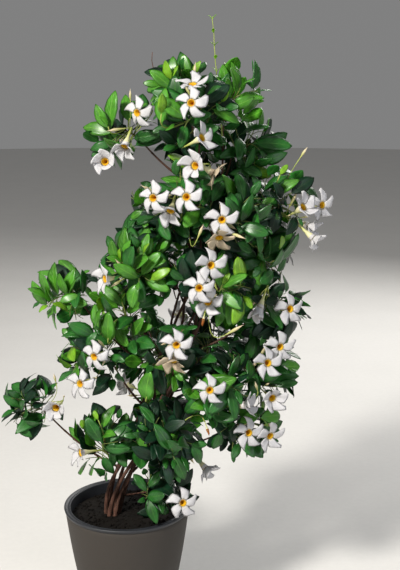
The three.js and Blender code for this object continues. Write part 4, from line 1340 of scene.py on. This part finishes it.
    def age_and_shade_of(self, end):
        """The age of a whole spray: the mass's share are fresh. Of the rest, those deep inside and in shade
        get the darkest tint, which is painted shade as well as the green of old leaves.
        """
        if self.draw() < self.mass.fresh:
            return FRESH
        # Painted shade: sprays behind and below the heart, and more of them in a mass in the shade, get the
        # darkest tint.
        outer = end[1] < self.mass.heart[1] + AGE_AND_SHADE["behind"] or end[2] > self.mass.heart[2]
        green = AGE_AND_SHADE["green"] if self.mass.fresh > AGE_AND_SHADE["shady"] else AGE_AND_SHADE["green_in_shade"]
        return GREEN if outer and self.draw() < green else OLD_AND_SHADED

    def twig_at(self, place):
        """The twig at one of the places round a shoot: they turn by the golden angle, from back to ahead."""
        shoot = SHOOTS[self.index]
        ahead = lerp(GROWTH["back"], GROWTH["ahead"], (place + 0.5) / self.places)
        turn = place * GOLDEN_ANGLE + self.draw(0, SWAY["turn"])
        along, across, face = frame_of(shoot.heading(1), UP)
        sideways = math.sqrt(1 - ahead * ahead)
        direction = along * ahead + across * (sideways * math.cos(turn)) + face * (sideways * math.sin(turn))
        end = HEARTS[self.index] + direction * self.mass.reach * self.draw(*TWIG["length"])
        foot_at = foot_share(ahead)
        foot = shoot.at(foot_at)
        rise = shoot.heading(foot_at) * TWIG["onward"] + UP * TWIG["rise"]
        return Bend(foot, lerp(foot, end, 0.5) + rise * np.linalg.norm(end - foot), end)

    def side_twig(self, twig, at, turn):
        """A finer twig that leaves another at a splay and bends on along it."""
        foot, heading = twig.at(at), twig.heading(at)
        _, across, face = frame_of(heading, UP)
        round_it = turn + at * SIDE_TWIG["turn"] + self.draw(-SIDE_TWIG["sway"], SIDE_TWIG["sway"])
        out = across * math.cos(round_it) + face * math.sin(round_it)
        length = np.linalg.norm(twig.end - twig.start) * SIDE_TWIG["length"] * self.draw(0.8, 1.2)
        direction = heading * math.cos(SIDE_TWIG["splay"]) + out * math.sin(SIDE_TWIG["splay"])
        middle = foot + (heading * SIDE_TWIG["bend"] + direction * SIDE_TWIG["bend"]) * length
        return Bend(foot, middle, foot + unit(direction) * length)


# Leaf and limb shapes

# Ranges from which each leaf's own form is drawn: shares of its width and length, and its edge's wave
FORM = {
    "width": (0.88, 1.1), "tip": (0.68, 1.05), "fold": (0.10, 0.34), "droop": (0.06, 0.24),
    "bow": (0.02, 0.07), "swing": (-0.08, 0.08), "phase": (0, 6.28),
}
BLADE = {"stalk": 0.0009, "power": 0.75, "curl": 0.16, "wave": 0.0011, "waves": 11, "shorter": 0.25}
THICK = {"stalk": 0.0013, "stalk_end": 0.25, "middle": 0.0005, "edge": 0.0002}
LEAF_ROWS = np.array((0.0, 0.09, 0.19, 0.36, 0.56, 0.76, 0.92, 1.0))
LEAF_COLUMNS = np.array((-1.0, -0.55, 0.0, 0.55, 1.0))


def leaf_grids(leaves, seed):
    """Leaves as grids: a narrow stalk, then a blade whose half width follows b^p (1 - b)^q of its share b,
    with p the same for all and q, which sets how pointed the tip is, a leaf's own.

    The blade folds up from the midrib by v, curls back by v^2, arches by a half sine and droops by u^2; its
    edge waves a little, and no two leaves fold, droop or wave alike.
    """
    draw = np.random.default_rng(seed)
    root = np.array([leaf.root for leaf in leaves])[:, None, None]
    length = np.array([leaf.length for leaf in leaves])[:, None, None]
    along, across, face = (np.array([leaf.axes[i] for leaf in leaves])[:, None, None] for i in range(3))

    def drawn(name):
        return draw.uniform(*FORM[name], (len(leaves), 1, 1))

    u, v = LEAF_ROWS[None, :, None], LEAF_COLUMNS[None, None]
    blade = np.clip((u - LEAF["stalk"]) / (1 - LEAF["stalk"]), 0, 1)
    p, q = BLADE["power"], drawn("tip")
    outline = blade**p * (1 - blade) ** q * (1 + q / p) ** p * (1 + p / q) ** q
    half = BLADE["stalk"] + outline * LEAF["width"] / 2 * length * drawn("width")
    fold, droop, bow, swing, phase = (drawn(name) for name in ("fold", "droop", "bow", "swing", "phase"))
    wave = BLADE["wave"] * np.sin(BLADE["waves"] * u + phase + v) * np.abs(v) * outline
    rise = half * (fold * np.abs(v) - BLADE["curl"] * v**2) + wave
    rise = rise + length * (bow * np.sin(np.pi * blade) - droop * blade**2)
    bent_in = length * u * (1 - BLADE["shorter"] * droop * blade)
    aside = half * v + length * swing * blade**2
    top = root + bent_in[..., None] * along[..., :] + aside[..., None] * across + rise[..., None] * face
    thick = THICK["stalk"] * (1 - smooth(u / THICK["stalk_end"])) + THICK["middle"] * outline + THICK["edge"]
    return top, np.broadcast_to(-face * thick[..., None], top.shape)


def add_leaves(joined, leaves, seed, tint_slots):
    """All leaves of one piece: upper sides in the slot of their tint, undersides in the next."""
    points, faces = slabs(*leaf_grids(leaves, seed))
    half = len(faces[0]) // 2
    first = np.array([tint_slots[leaf.age] for leaf in leaves])[:, None]
    slots = first + (np.arange(2 * half) >= half)[None]
    joined.add(points, faces, slots, slab_uv(LEAF_ROWS, (LEAF_COLUMNS + 1) / 2))


def bark_radii(radii, steps, sides, length, seed):
    """Radii with relief: ridges that wander round as they climb, a swollen ring at each old joint, grain."""
    s = np.linspace(0, 1, steps)[:, None] * length
    angle = np.arange(sides)[None] * 2 * np.pi / sides
    ridges = sum(
        share * np.sin(number * angle + sway * wander(s * pitch + unlike * seed))
        for number, sway, pitch, unlike, share in RIDGES
    )
    spacing = BARK["joint_spacing"]
    rings = np.exp(-((((s + 0.02 * seed) % spacing - spacing / 2) / BARK["joint_width"]) ** 2))
    fine = wander(s * 900 + seed, angle * 3.7)
    return radii[:, None] * (1 + BARK["ridges"] * ridges + BARK["joints"] * rings + BARK["grain"] * fine)


def limb_mesh(joined, line, radii, sides, seed):
    length = float(np.linalg.norm(np.diff(line, axis=0), axis=1).sum())
    relief = bark_radii(radii, len(line), sides, length, seed)
    joined.add(*tubes(line[None], relief[None], sides))


# Settings


def colour(name, description, default):
    return FloatVectorProperty(
        name=name, description=description, default=default, subtype="COLOR", min=0, max=1
    )


def length(name, description, default):
    return FloatProperty(name=name, description=description, default=default, unit="LENGTH", min=0)


def strength(name, description, default):
    return FloatProperty(name=name, description=description, default=default, min=0)


class PlanterSettings(bpy.types.PropertyGroup):
    # The wall colour is the planter's dark taupe made darker still by painted shade.
    wall: colour("Wall", "Colour of the planter's matt outside", (0.032, 0.026, 0.021))
    rim: colour("Rim", "Colour of the liner and its flat rim", (0.016, 0.018, 0.023))
    soil: colour("Soil", "Colour of the damp potting soil", (0.0055, 0.0042, 0.0032))
    relief: length("Relief", "Height of the lumps in the soil", 0.0035)


class LimbSettings(bpy.types.PropertyGroup):
    bark: colour("Bark", "Colour of the stems and boughs", (0.080, 0.036, 0.024))
    shoot: colour("Shoot", "Colour of this year's twigs", (0.150, 0.190, 0.050))
    stalk: colour("Stalk", "Colour of the blooms' stalks", (0.330, 0.400, 0.090))


class LeafSettings(bpy.types.PropertyGroup):
    shortest: length("Shortest", "Length of the shortest full-grown leaf", 0.084)
    longest: length("Longest", "Length of the longest full-grown leaf", 0.110)
    sprays: IntProperty(name="Sprays", description="Places for twigs round each shoot", default=64, min=1)
    most: IntProperty(name="Most", description="Leaves at which a mass is full", default=70, min=1)
    # The deep colour is partly the dark green of old leaves and partly painted shade on leaves inside and
    # behind.
    deep: colour("Deep", "Oldest leaves, inside and behind", (0.004, 0.027, 0.011))
    green: colour("Green", "Full-grown leaves", (0.017, 0.112, 0.015))
    fresh: colour("Fresh", "This season's leaves", (0.058, 0.225, 0.016))
    young: colour("Young", "Half-open leaves at the tips", (0.150, 0.330, 0.015))


class BloomSettings(bpy.types.PropertyGroup):
    radius: length("Radius", "From the centre of a bloom to its furthest corner", 0.041)
    petal: colour("Petal", "Colour of the petals", (0.73, 0.72, 0.74))
    faded: colour("Faded", "Colour of the petals of a bloom that is nearly over", (0.66, 0.55, 0.40))
    throat: colour("Throat", "Colour inside the throat", (0.70, 0.41, 0.014))
    tube: colour("Tube", "Colour of the tube's narrow end and the buds' roots", (0.46, 0.52, 0.10))
    spent: colour("Spent", "Colour of a withered bloom", (0.42, 0.13, 0.02))


class StageSettings(bpy.types.PropertyGroup):
    floor: colour("Floor", "Colour of the pale floor", (0.66, 0.65, 0.63))
    key: strength("Key", "Power of the key light in watts", 270)
    fill: strength("Fill", "Power of the fill light in watts", 32)
    back: strength("Back", "Power of the back light in watts", 95)
    sky: strength("Sky", "Strength of the even light all round", 0.25)


# Operators


def planter_radius(z):
    """A straight taper from the base to the top, with a slight belly of half a sine."""
    t = z / PLANTER["height"]
    return lerp(PLANTER["base"], PLANTER["top"], t) + PLANTER["belly"] * np.sin(np.pi * t)


WORLD_AXES = [np.array([axis]) for axis in ((0.0, 0.0, 1.0), (1.0, 0.0, 0.0), (0.0, 1.0, 0.0))]


def add_turned(joined, profile):
    """A profile of (radius, height), from the inside over the rim and down the outside, about the planter."""
    radii, heights = np.array(profile).T
    joined.add(*turned(np.zeros((1, 3)), WORLD_AXES, radii[None], heights[None], SIDES["planter"]))


def rounded(corner, size, start, stop, steps=4):
    """Points of a small round edge about a corner's centre, from one angle to the other."""
    angle = np.linspace(start, stop, steps)
    return list(zip(corner[0] + size * np.cos(angle), corner[1] + size * np.sin(angle)))


class MANDEVILLA_OT_planter(bpy.types.Operator):
    """Turns the planter's wall and the dark liner with its rim"""

    bl_idname = "mandevilla.planter"
    bl_label = "Planter"

    def execute(self, context):
        settings = context.scene.mandevilla_planter
        top, base, wall, edge = (PLANTER[name] for name in ("height", "base", "wall", "edge"))
        heights = np.linspace(0.010, top - edge, RINGS["wall"])
        inner = [(planter_radius(z) - wall, z) for z in heights]
        outer = [(planter_radius(z), z) for z in heights[::-1]]
        rim = [(planter_radius(top) - wall + edge, top), (planter_radius(top) - edge, top)]
        foot = base - PLANTER["foot"]
        floor = [(NEAR_AXIS, PLANTER["floor"]), (base - wall - 0.002, PLANTER["floor"])]
        # The edge of the foot slants in over the lowest 5 mm
        chamfer = [(base + 0.0006, 0.005), (foot + 0.0015, 0.0012)]
        underside = [(foot, 0.0), (PLANTER["flat_to"], 0.0), (NEAR_AXIS, 0.0)]
        shell = Joined()
        add_turned(shell, [*floor, *inner, *rim, *outer, *chamfer, *underside])
        # The wall's colour carries painted shade.
        finish = plain_finish("planter_wall", settings.wall, 900.0, 0.0003, 0.72, 0.10)
        shell.make("planter_wall", "planter_wall", [finish], ["planter"])
        self.liner(settings)
        return {"FINISHED"}

    def liner(self, settings):
        """The liner's flat rim has a round outer edge, a shallow groove and a step down to its wall."""
        top, radius, bead, groove = (LINER[name] for name in ("top", "radius", "bead", "groove"))
        under = top - LINER["depth"]
        mouth = radius - LINER["lip"]
        outside = PLANTER["wall"] + LINER["play"]
        heights = np.linspace(LINER["foot"], under, RINGS["liner"])
        wall = [(planter_radius(z) - outside, z) for z in heights]
        inside = [(r - LINER["wall"], z + LINER["floor"]) for r, z in wall[:-1]]
        flat = [
            (mouth - 0.001, under + 0.001),
            (mouth, top - 0.004),
            *rounded((mouth + groove, top - 2 * groove), groove, math.pi, math.pi / 2),
            *((mouth + out, top - deep) for out, deep in RIM_GROOVE),
            (radius - bead - 0.0012, top - 0.0004),
            *rounded((radius - bead, top - bead), bead, math.pi / 2, -math.pi / 3, 6),
            (radius - groove, under),
        ]
        floor = LINER["foot"] + LINER["floor"]
        well = [(NEAR_AXIS, floor), (wall[0][0] - LINER["wall"] - 0.001, floor)]
        liner = Joined()
        add_turned(liner, [*well, *inside, *flat, *wall[::-1], (NEAR_AXIS, LINER["foot"])])
        finish = plain_finish("planter_liner", settings.rim, 700.0, 0.0002, 0.5, 0.14)
        liner.make("planter_liner", "insert", [finish], ["planter_insert"])


class MANDEVILLA_OT_soil(bpy.types.Operator):
    """Fills the liner with damp, lumpy soil and strews crumbs on it"""

    bl_idname = "mandevilla.soil"
    bl_label = "Soil"

    def execute(self, context):
        settings = context.scene.mandevilla_planter
        sides = SIDES["soil"]
        edge = planter_radius(SOIL["top"]) - PLANTER["wall"] - LINER["play"] - LINER["wall"] - SOIL["play"]
        shares = np.concatenate([[SOIL["middle"]], np.linspace(*SOIL["rings"])])[:, None]
        angle = np.arange(sides)[None] * 2 * np.pi / sides
        x, y = edge * shares * np.cos(angle), edge * shares * np.sin(angle)
        lumps = wander(x * 150, y * 70 + 3) * wander(y * 170, x * 60 + 1) + 0.5 * wander(x * 520, y * 430)
        height = SOIL["top"] + SOIL["dome"] * (1 - shares**2) + settings.relief * lumps * (1 - shares**8)
        highest = SOIL["top"] + SOIL["dome"] + SOIL["highest"]
        top = np.stack([x, y, np.minimum(height, highest)], -1)
        narrow = SOIL["narrows"]
        floor = np.stack([narrow * x, narrow * y, np.full_like(x, SOIL["bottom"])], -1)[[-1, 0]]
        points = np.concatenate([top, floor]).reshape(1, -1, 3)
        bands, caps = ring_faces(len(top) + 2, sides)
        soil = Joined()
        soil.add(points, [bands[:, ::-1], caps[:, ::-1]])
        finish = plain_finish("soil", settings.soil, 420.0, 0.0012, 0.95, 0.5, specular=0.15)
        soil.make("soil", "soil", [finish], ["potting_soil"])
        self.crumbs(finish, edge)
        return {"FINISHED"}

    def crumbs(self, finish, edge):
        """Crumbs are short, uneven barrels that lie on the soil at random turns."""
        draw = np.random.default_rng(CRUMB_SEED)
        number = CRUMBS["number"]
        out = edge * CRUMBS["spread"] * np.sqrt(draw.uniform(0, 1, number))
        turn = draw.uniform(0, 2 * np.pi, number)
        size = draw.uniform(*CRUMBS["size"], number)
        height = np.full(number, SOIL["top"] + CRUMBS["over_soil"])
        centre = np.stack([out * np.cos(turn), out * np.sin(turn), height], -1)
        axes = frame_of(draw.normal(size=(number, 3)), UP)
        out, deep = CRUMB_SHAPE.T
        radii = size[:, None] * out * draw.uniform(*CRUMBS["uneven"], (number, len(CRUMB_SHAPE)))
        joined = Joined()
        joined.add(*turned(centre, axes, radii, size[:, None] * deep, SIDES["crumb"]))
        joined.make("soil_crumbs", "soil", [finish], [])


class MANDEVILLA_OT_limbs(bpy.types.Operator):
    """Covers the stems and boughs with bark that has its own relief"""

    bl_idname = "mandevilla.limbs"
    bl_label = "Stems and boughs"

    def execute(self, context):
        settings = context.scene.mandevilla_limbs
        bark = bark_finish("bark", settings.bark)
        for k, top in enumerate(STEM_TOPS):
            stem = Joined()
            t = np.linspace(0, 1, RINGS["stem"])
            line = stem_at(k, lerp(SOIL["top"] + 0.001, top, t))
            waver = STEM["waver"] * np.stack([wander(t * 40 + k), wander(t * 33 + 2 * k), 0 * t], -1)
            limb_mesh(stem, line + waver * np.sin(np.pi * t)[:, None], stem_radius(t), SIDES["stem"], k)
            stem.make(f"stem_{k + 1}_bark", "bark", [bark], [f"stem_{k + 1}"])
        boughs = Joined()
        for number, line in enumerate(BOUGHS.values()):
            t = np.linspace(0, 1, RINGS["bough"])
            swell = 1 + BOUGH["swell"] * np.exp(-((t / BOUGH["swollen"]) ** 2))
            radii = lerp(BOUGH["radius"], BOUGH["tip"], t) * swell
            limb_mesh(boughs, line.at(t), radii, SIDES["bough"], len(STEM_TOPS) + number + 1)
        boughs.make("bough_bark", "bark", [bark], list(BOUGHS))
        return {"FINISHED"}


TWIG_SLOT, BARK_SLOT, YOUNG_SLOT = range(3)


class MANDEVILLA_OT_crown(bpy.types.Operator):
    """Grows the twigs and leaves of every mass"""

    bl_idname = "mandevilla.crown"
    bl_label = "Twigs and leaves"

    def execute(self, context):
        settings = context.scene.mandevilla_leaves
        room, crown = Room(all_blooms()), Crown()
        for index in range(len(MASSES)):
            Patch(room, index, crown, settings).grow()
        self.twigs(crown, context.scene.mandevilla_limbs)
        looks = (
            ("deep", 0.42, 0.30, 0.22),
            ("green", 0.38, 0.60, 0.42),
            ("fresh", 0.40, 0.75, 0.45),
            ("young", 0.46, 0.50, 0.35),
        )
        finishes = [leaf_finishes(f"{name}_leaf", getattr(settings, name), *look) for name, *look in looks]
        # The deep piece has the darkest tint: the green of old leaves, and painted shade.
        pieces = {"deep_leaves": (OLD_AND_SHADED,), "green_leaves": (GREEN,), "fresh_leaves": (FRESH, YOUNG)}
        for name, ages in pieces.items():
            leaves = [leaf for leaf in crown.leaves if leaf.age in ages]
            joined = Joined()
            add_leaves(joined, leaves, len(leaves), {age: 2 * i for i, age in enumerate(ages)})
            joined.make(name, "foliage", [m for age in ages for m in finishes[age]], FOLIAGE)
        return {"FINISHED"}

    def twigs(self, crown, settings):
        """Shoots, bare twigs and leafy ones are tubes of five sides that taper from foot to tip."""
        joined = Joined()
        t = np.linspace(0, 1, RINGS["twig"])
        bare = [spray_twig(twig) for twig in BARE_TWIGS]
        woody = [(shoot, SHOOT["radius"], SHOOT["tip"]) for shoot in SHOOTS]
        woody += [(twig, TWIG["radius"], TWIG["tip"]) for twig in bare]
        rows = woody + crown.twigs + crown.young
        lines = np.array([twig.at(t) for twig, _, _ in rows])
        radii = np.array([lerp(radius, tip, t) for _, radius, tip in rows])
        numbers = (len(woody), len(crown.twigs), len(crown.young))
        slots = np.repeat((BARK_SLOT, TWIG_SLOT, YOUNG_SLOT), numbers)[:, None]
        joined.add(*tubes(lines, radii, SIDES["twig"]), slots=slots)
        finishes = [green_stalk_finish("twig", settings.shoot), bark_finish("shoot_bark", settings.bark)]
        finishes.append(green_stalk_finish("young_twig", settings.stalk))
        joined.make("twigs", "foliage", finishes, FOLIAGE)


class MANDEVILLA_OT_blooms(bpy.types.Operator):
    """Opens the blooms with their tubes, stalks and buds, and hangs up the withered ones"""

    bl_idname = "mandevilla.blooms"
    bl_label = "Blooms and buds"

    def execute(self, context):
        settings, limbs = context.scene.mandevilla_blooms, context.scene.mandevilla_limbs
        blooms = all_blooms()
        petal = petal_finish("petal", settings.petal, 0.22)
        faded = petal_finish("faded_petal", settings.faded, 0.5)
        throat = throat_finish("throat", settings.throat)
        tube = fading_finish("bloom_tube", (0.86, 0.80, 0.55), settings.tube, 0.55, 0.95)
        self.add_all(blooms, settings.radius, "petals").make(
            "blooms", "foliage", [petal, throat, tube, faded], FOLIAGE
        )
        stalks, buds = bud_shapes(blooms)
        joined = Joined()
        add_buds(joined, buds)
        bud = fading_finish("bud", settings.tube, (0.80, 0.66, 0.46), 0.2, 0.9)
        joined.make("buds", "foliage", [bud], FOLIAGE)
        withered = blooms_of(SPENT_BLOOMS, "withered", BLOOM["withered"])
        brown = petal_finish("withered", settings.spent, 0.6)
        self.add_all(withered, settings.radius, "withered_petals", PETAL["withered_ruffle"]).make(
            "withered_blooms", "foliage", [brown, brown, tube], FOLIAGE
        )
        self.stalks([bloom.stalk for bloom in [*blooms, *withered]], stalks, limbs)
        return {"FINISHED"}

    def add_all(self, blooms, radius, kind, ruffle=1.0):
        joined = Joined()
        for index, bloom in enumerate(blooms):
            add_bloom(joined, bloom, radius, draws_of(kind, index), ruffle)
        return joined

    def stalks(self, bloom_stalks, bud_stalks, limbs):
        """Stalks are thin tubes that widen a little where the bloom or bud sits."""
        t = np.linspace(0, 1, RINGS["stalk"])
        widening = 1 + BLOOM["stalk_end"] * smooth((t - 0.8) / 0.2)
        joined = Joined()
        for rows, thick in ((bloom_stalks, BLOOM["stalk"]), (bud_stalks, BUD["stalk"])):
            lines = np.array([row.at(t) for row in rows])
            radii = np.broadcast_to(thick * widening, lines.shape[:2])
            joined.add(*tubes(lines, radii, SIDES["stalk"]))
        joined.make("bloom_stalks", "foliage", [green_stalk_finish("stalk", limbs.stalk)], FOLIAGE)


# A leaf's two sides have the first slots. The stalk's finish doesn't use the map, so one spot of it will do.
STALK_SLOT = 2
MAP_SPOT = 0.3


class MANDEVILLA_OT_leader(bpy.types.Operator):
    """Sends up the thin leading shoot with its half-open leaves"""

    bl_idname = "mandevilla.leader"
    bl_label = "Leading shoot"

    def execute(self, context):
        limbs, leaf_colours = context.scene.mandevilla_limbs, context.scene.mandevilla_leaves
        t = np.linspace(0, 1, RINGS["leader"])
        line = LEADER_LINE.at(t)
        waver = LEADER["waver"] * np.stack([wander(t * 9), wander(t * 7 + 2), 0 * t], -1)
        line = line + waver * smooth(t * 4)[:, None]
        knots = np.cos(t * LEADER["knots"]) > LEADER["narrow"]
        radii = lerp(LEADER["radius"], LEADER["tip"], t) * (1 + LEADER["knot"] * knots)
        joined = Joined()
        points, faces = tubes(line[None], radii[None], SIDES["leader"])
        joined.add(points, faces, STALK_SLOT, np.full((points.shape[1], 2), MAP_SPOT))
        leaves = []
        for pair, at in enumerate(np.linspace(*LEADER["pairs"])):
            for sign in (1, -1):
                turn = pair * math.pi / 2
                along = np.array((sign * math.cos(turn), sign * math.sin(turn), LEADER["erect"]))
                leaves.append(Leaf(LEADER_LINE.at(at), frame_of(along, UP), LEADER["leaf"], YOUNG))
        add_leaves(joined, leaves, LEADER_SEED, {YOUNG: 0})
        young = leaf_finishes("leader_leaf", leaf_colours.young, 0.5, 0.4, 0.3)
        stalk = green_stalk_finish("leader_stalk", limbs.stalk)
        joined.make("leading_shoot", "young_shoot", [*young, stalk], ["leader_shoot"])
        return {"FINISHED"}


FLOOR = {"radius": 14, "below": 0.0002}
LIT_SPOT = (0.12, 0.0, 0.75)
LAMPS = {  # place, size and tint
    "key": ((-1.9, -2.7, 3.3), 0.7, (1.0, 0.965, 0.90)),
    "fill": ((2.6, -2.4, 1.8), 2.4, (0.86, 0.92, 1.0)),
    "back": ((1.6, 3.0, 2.6), 2.4, (1.0, 0.98, 0.95)),
}


class MANDEVILLA_OT_stage(bpy.types.Operator):
    """Lays the floor, sets the lights and stands the camera where the picture was taken"""

    bl_idname = "mandevilla.stage"
    bl_label = "Stage"

    def execute(self, context):
        settings = context.scene.mandevilla_stage
        scene = context.scene
        mesh = bpy.data.meshes.new("floor")
        angle = np.linspace(0, 2 * np.pi, SIDES["floor"] + 1)[:-1]
        out, below = FLOOR["radius"], FLOOR["below"]
        ring = np.stack([out * np.cos(angle), out * np.sin(angle), 0 * angle - below], -1)
        mesh.from_pydata(ring, [], [list(range(SIDES["floor"]))])
        mesh.materials.append(plain_finish("floor", settings.floor, 60.0, 0.0002, 0.85, 0.02))
        floor = bpy.data.objects.new("floor", mesh)
        scene.collection.objects.link(floor)
        for name, lamp in LAMPS.items():
            self.lamp(scene, name, getattr(settings, name), *lamp)
        world = bpy.data.worlds.new("studio")
        world.use_nodes = True
        sky = world.node_tree.nodes["Background"].inputs
        sky["Color"].default_value = (0.87, 0.87, 0.87, 1)
        sky["Strength"].default_value = settings.sky
        scene.world = world
        camera = bpy.data.objects.new("camera", bpy.data.cameras.new("camera"))
        camera.data.lens = camera.data.sensor_width * FRAME_HEIGHTS
        camera.location = EYE
        camera.rotation_euler = (math.pi / 2 - LOOK_DOWN, 0, 0)
        scene.collection.objects.link(camera)
        scene.camera = camera
        scene.view_settings.view_transform = "Standard"
        return {"FINISHED"}

    def lamp(self, scene, name, power, place, size, tint):
        lamp = bpy.data.lights.new(name, "AREA")
        lamp.shape, lamp.size, lamp.energy, lamp.color = "DISK", size, power, tint
        light = bpy.data.objects.new(name, lamp)
        light.location = place
        light.rotation_euler = (Vector(LIT_SPOT) - Vector(place)).to_track_quat("-Z", "Y").to_euler()
        scene.collection.objects.link(light)


class MANDEVILLA_PT_panel(bpy.types.Panel):
    """Lists the steps and the settings in the sidebar"""

    bl_idname = "MANDEVILLA_PT_panel"
    bl_label = "Potted Mandevilla"
    bl_space_type = "VIEW_3D"
    bl_region_type = "UI"
    bl_category = "Mandevilla"

    def draw(self, context):
        for operator in STEPS:
            self.layout.operator(operator.bl_idname)
        for name, group in SETTINGS.items():
            box = self.layout.box()
            box.label(text=group.__name__.removesuffix("Settings"))
            for field in group.__annotations__:
                box.prop(getattr(context.scene, name), field)


SETTINGS = {
    "mandevilla_planter": PlanterSettings,
    "mandevilla_limbs": LimbSettings,
    "mandevilla_leaves": LeafSettings,
    "mandevilla_blooms": BloomSettings,
    "mandevilla_stage": StageSettings,
}
STEPS = (
    MANDEVILLA_OT_planter,
    MANDEVILLA_OT_soil,
    MANDEVILLA_OT_limbs,
    MANDEVILLA_OT_crown,
    MANDEVILLA_OT_blooms,
    MANDEVILLA_OT_leader,
    MANDEVILLA_OT_stage,
)


def register():
    for group in (*SETTINGS.values(), *STEPS, MANDEVILLA_PT_panel):
        bpy.utils.register_class(group)
    for name, group in SETTINGS.items():
        setattr(bpy.types.Scene, name, PointerProperty(type=group))


def unregister():
    for name in SETTINGS:
        delattr(bpy.types.Scene, name)
    for group in (MANDEVILLA_PT_panel, *reversed(STEPS), *SETTINGS.values()):
        bpy.utils.unregister_class(group)


def main():
    """Takes every step in order."""
    register()
    for step in STEPS:
        area, name = step.bl_idname.split(".")
        getattr(getattr(bpy.ops, area), name)()


if __name__ == "__main__":
    main()
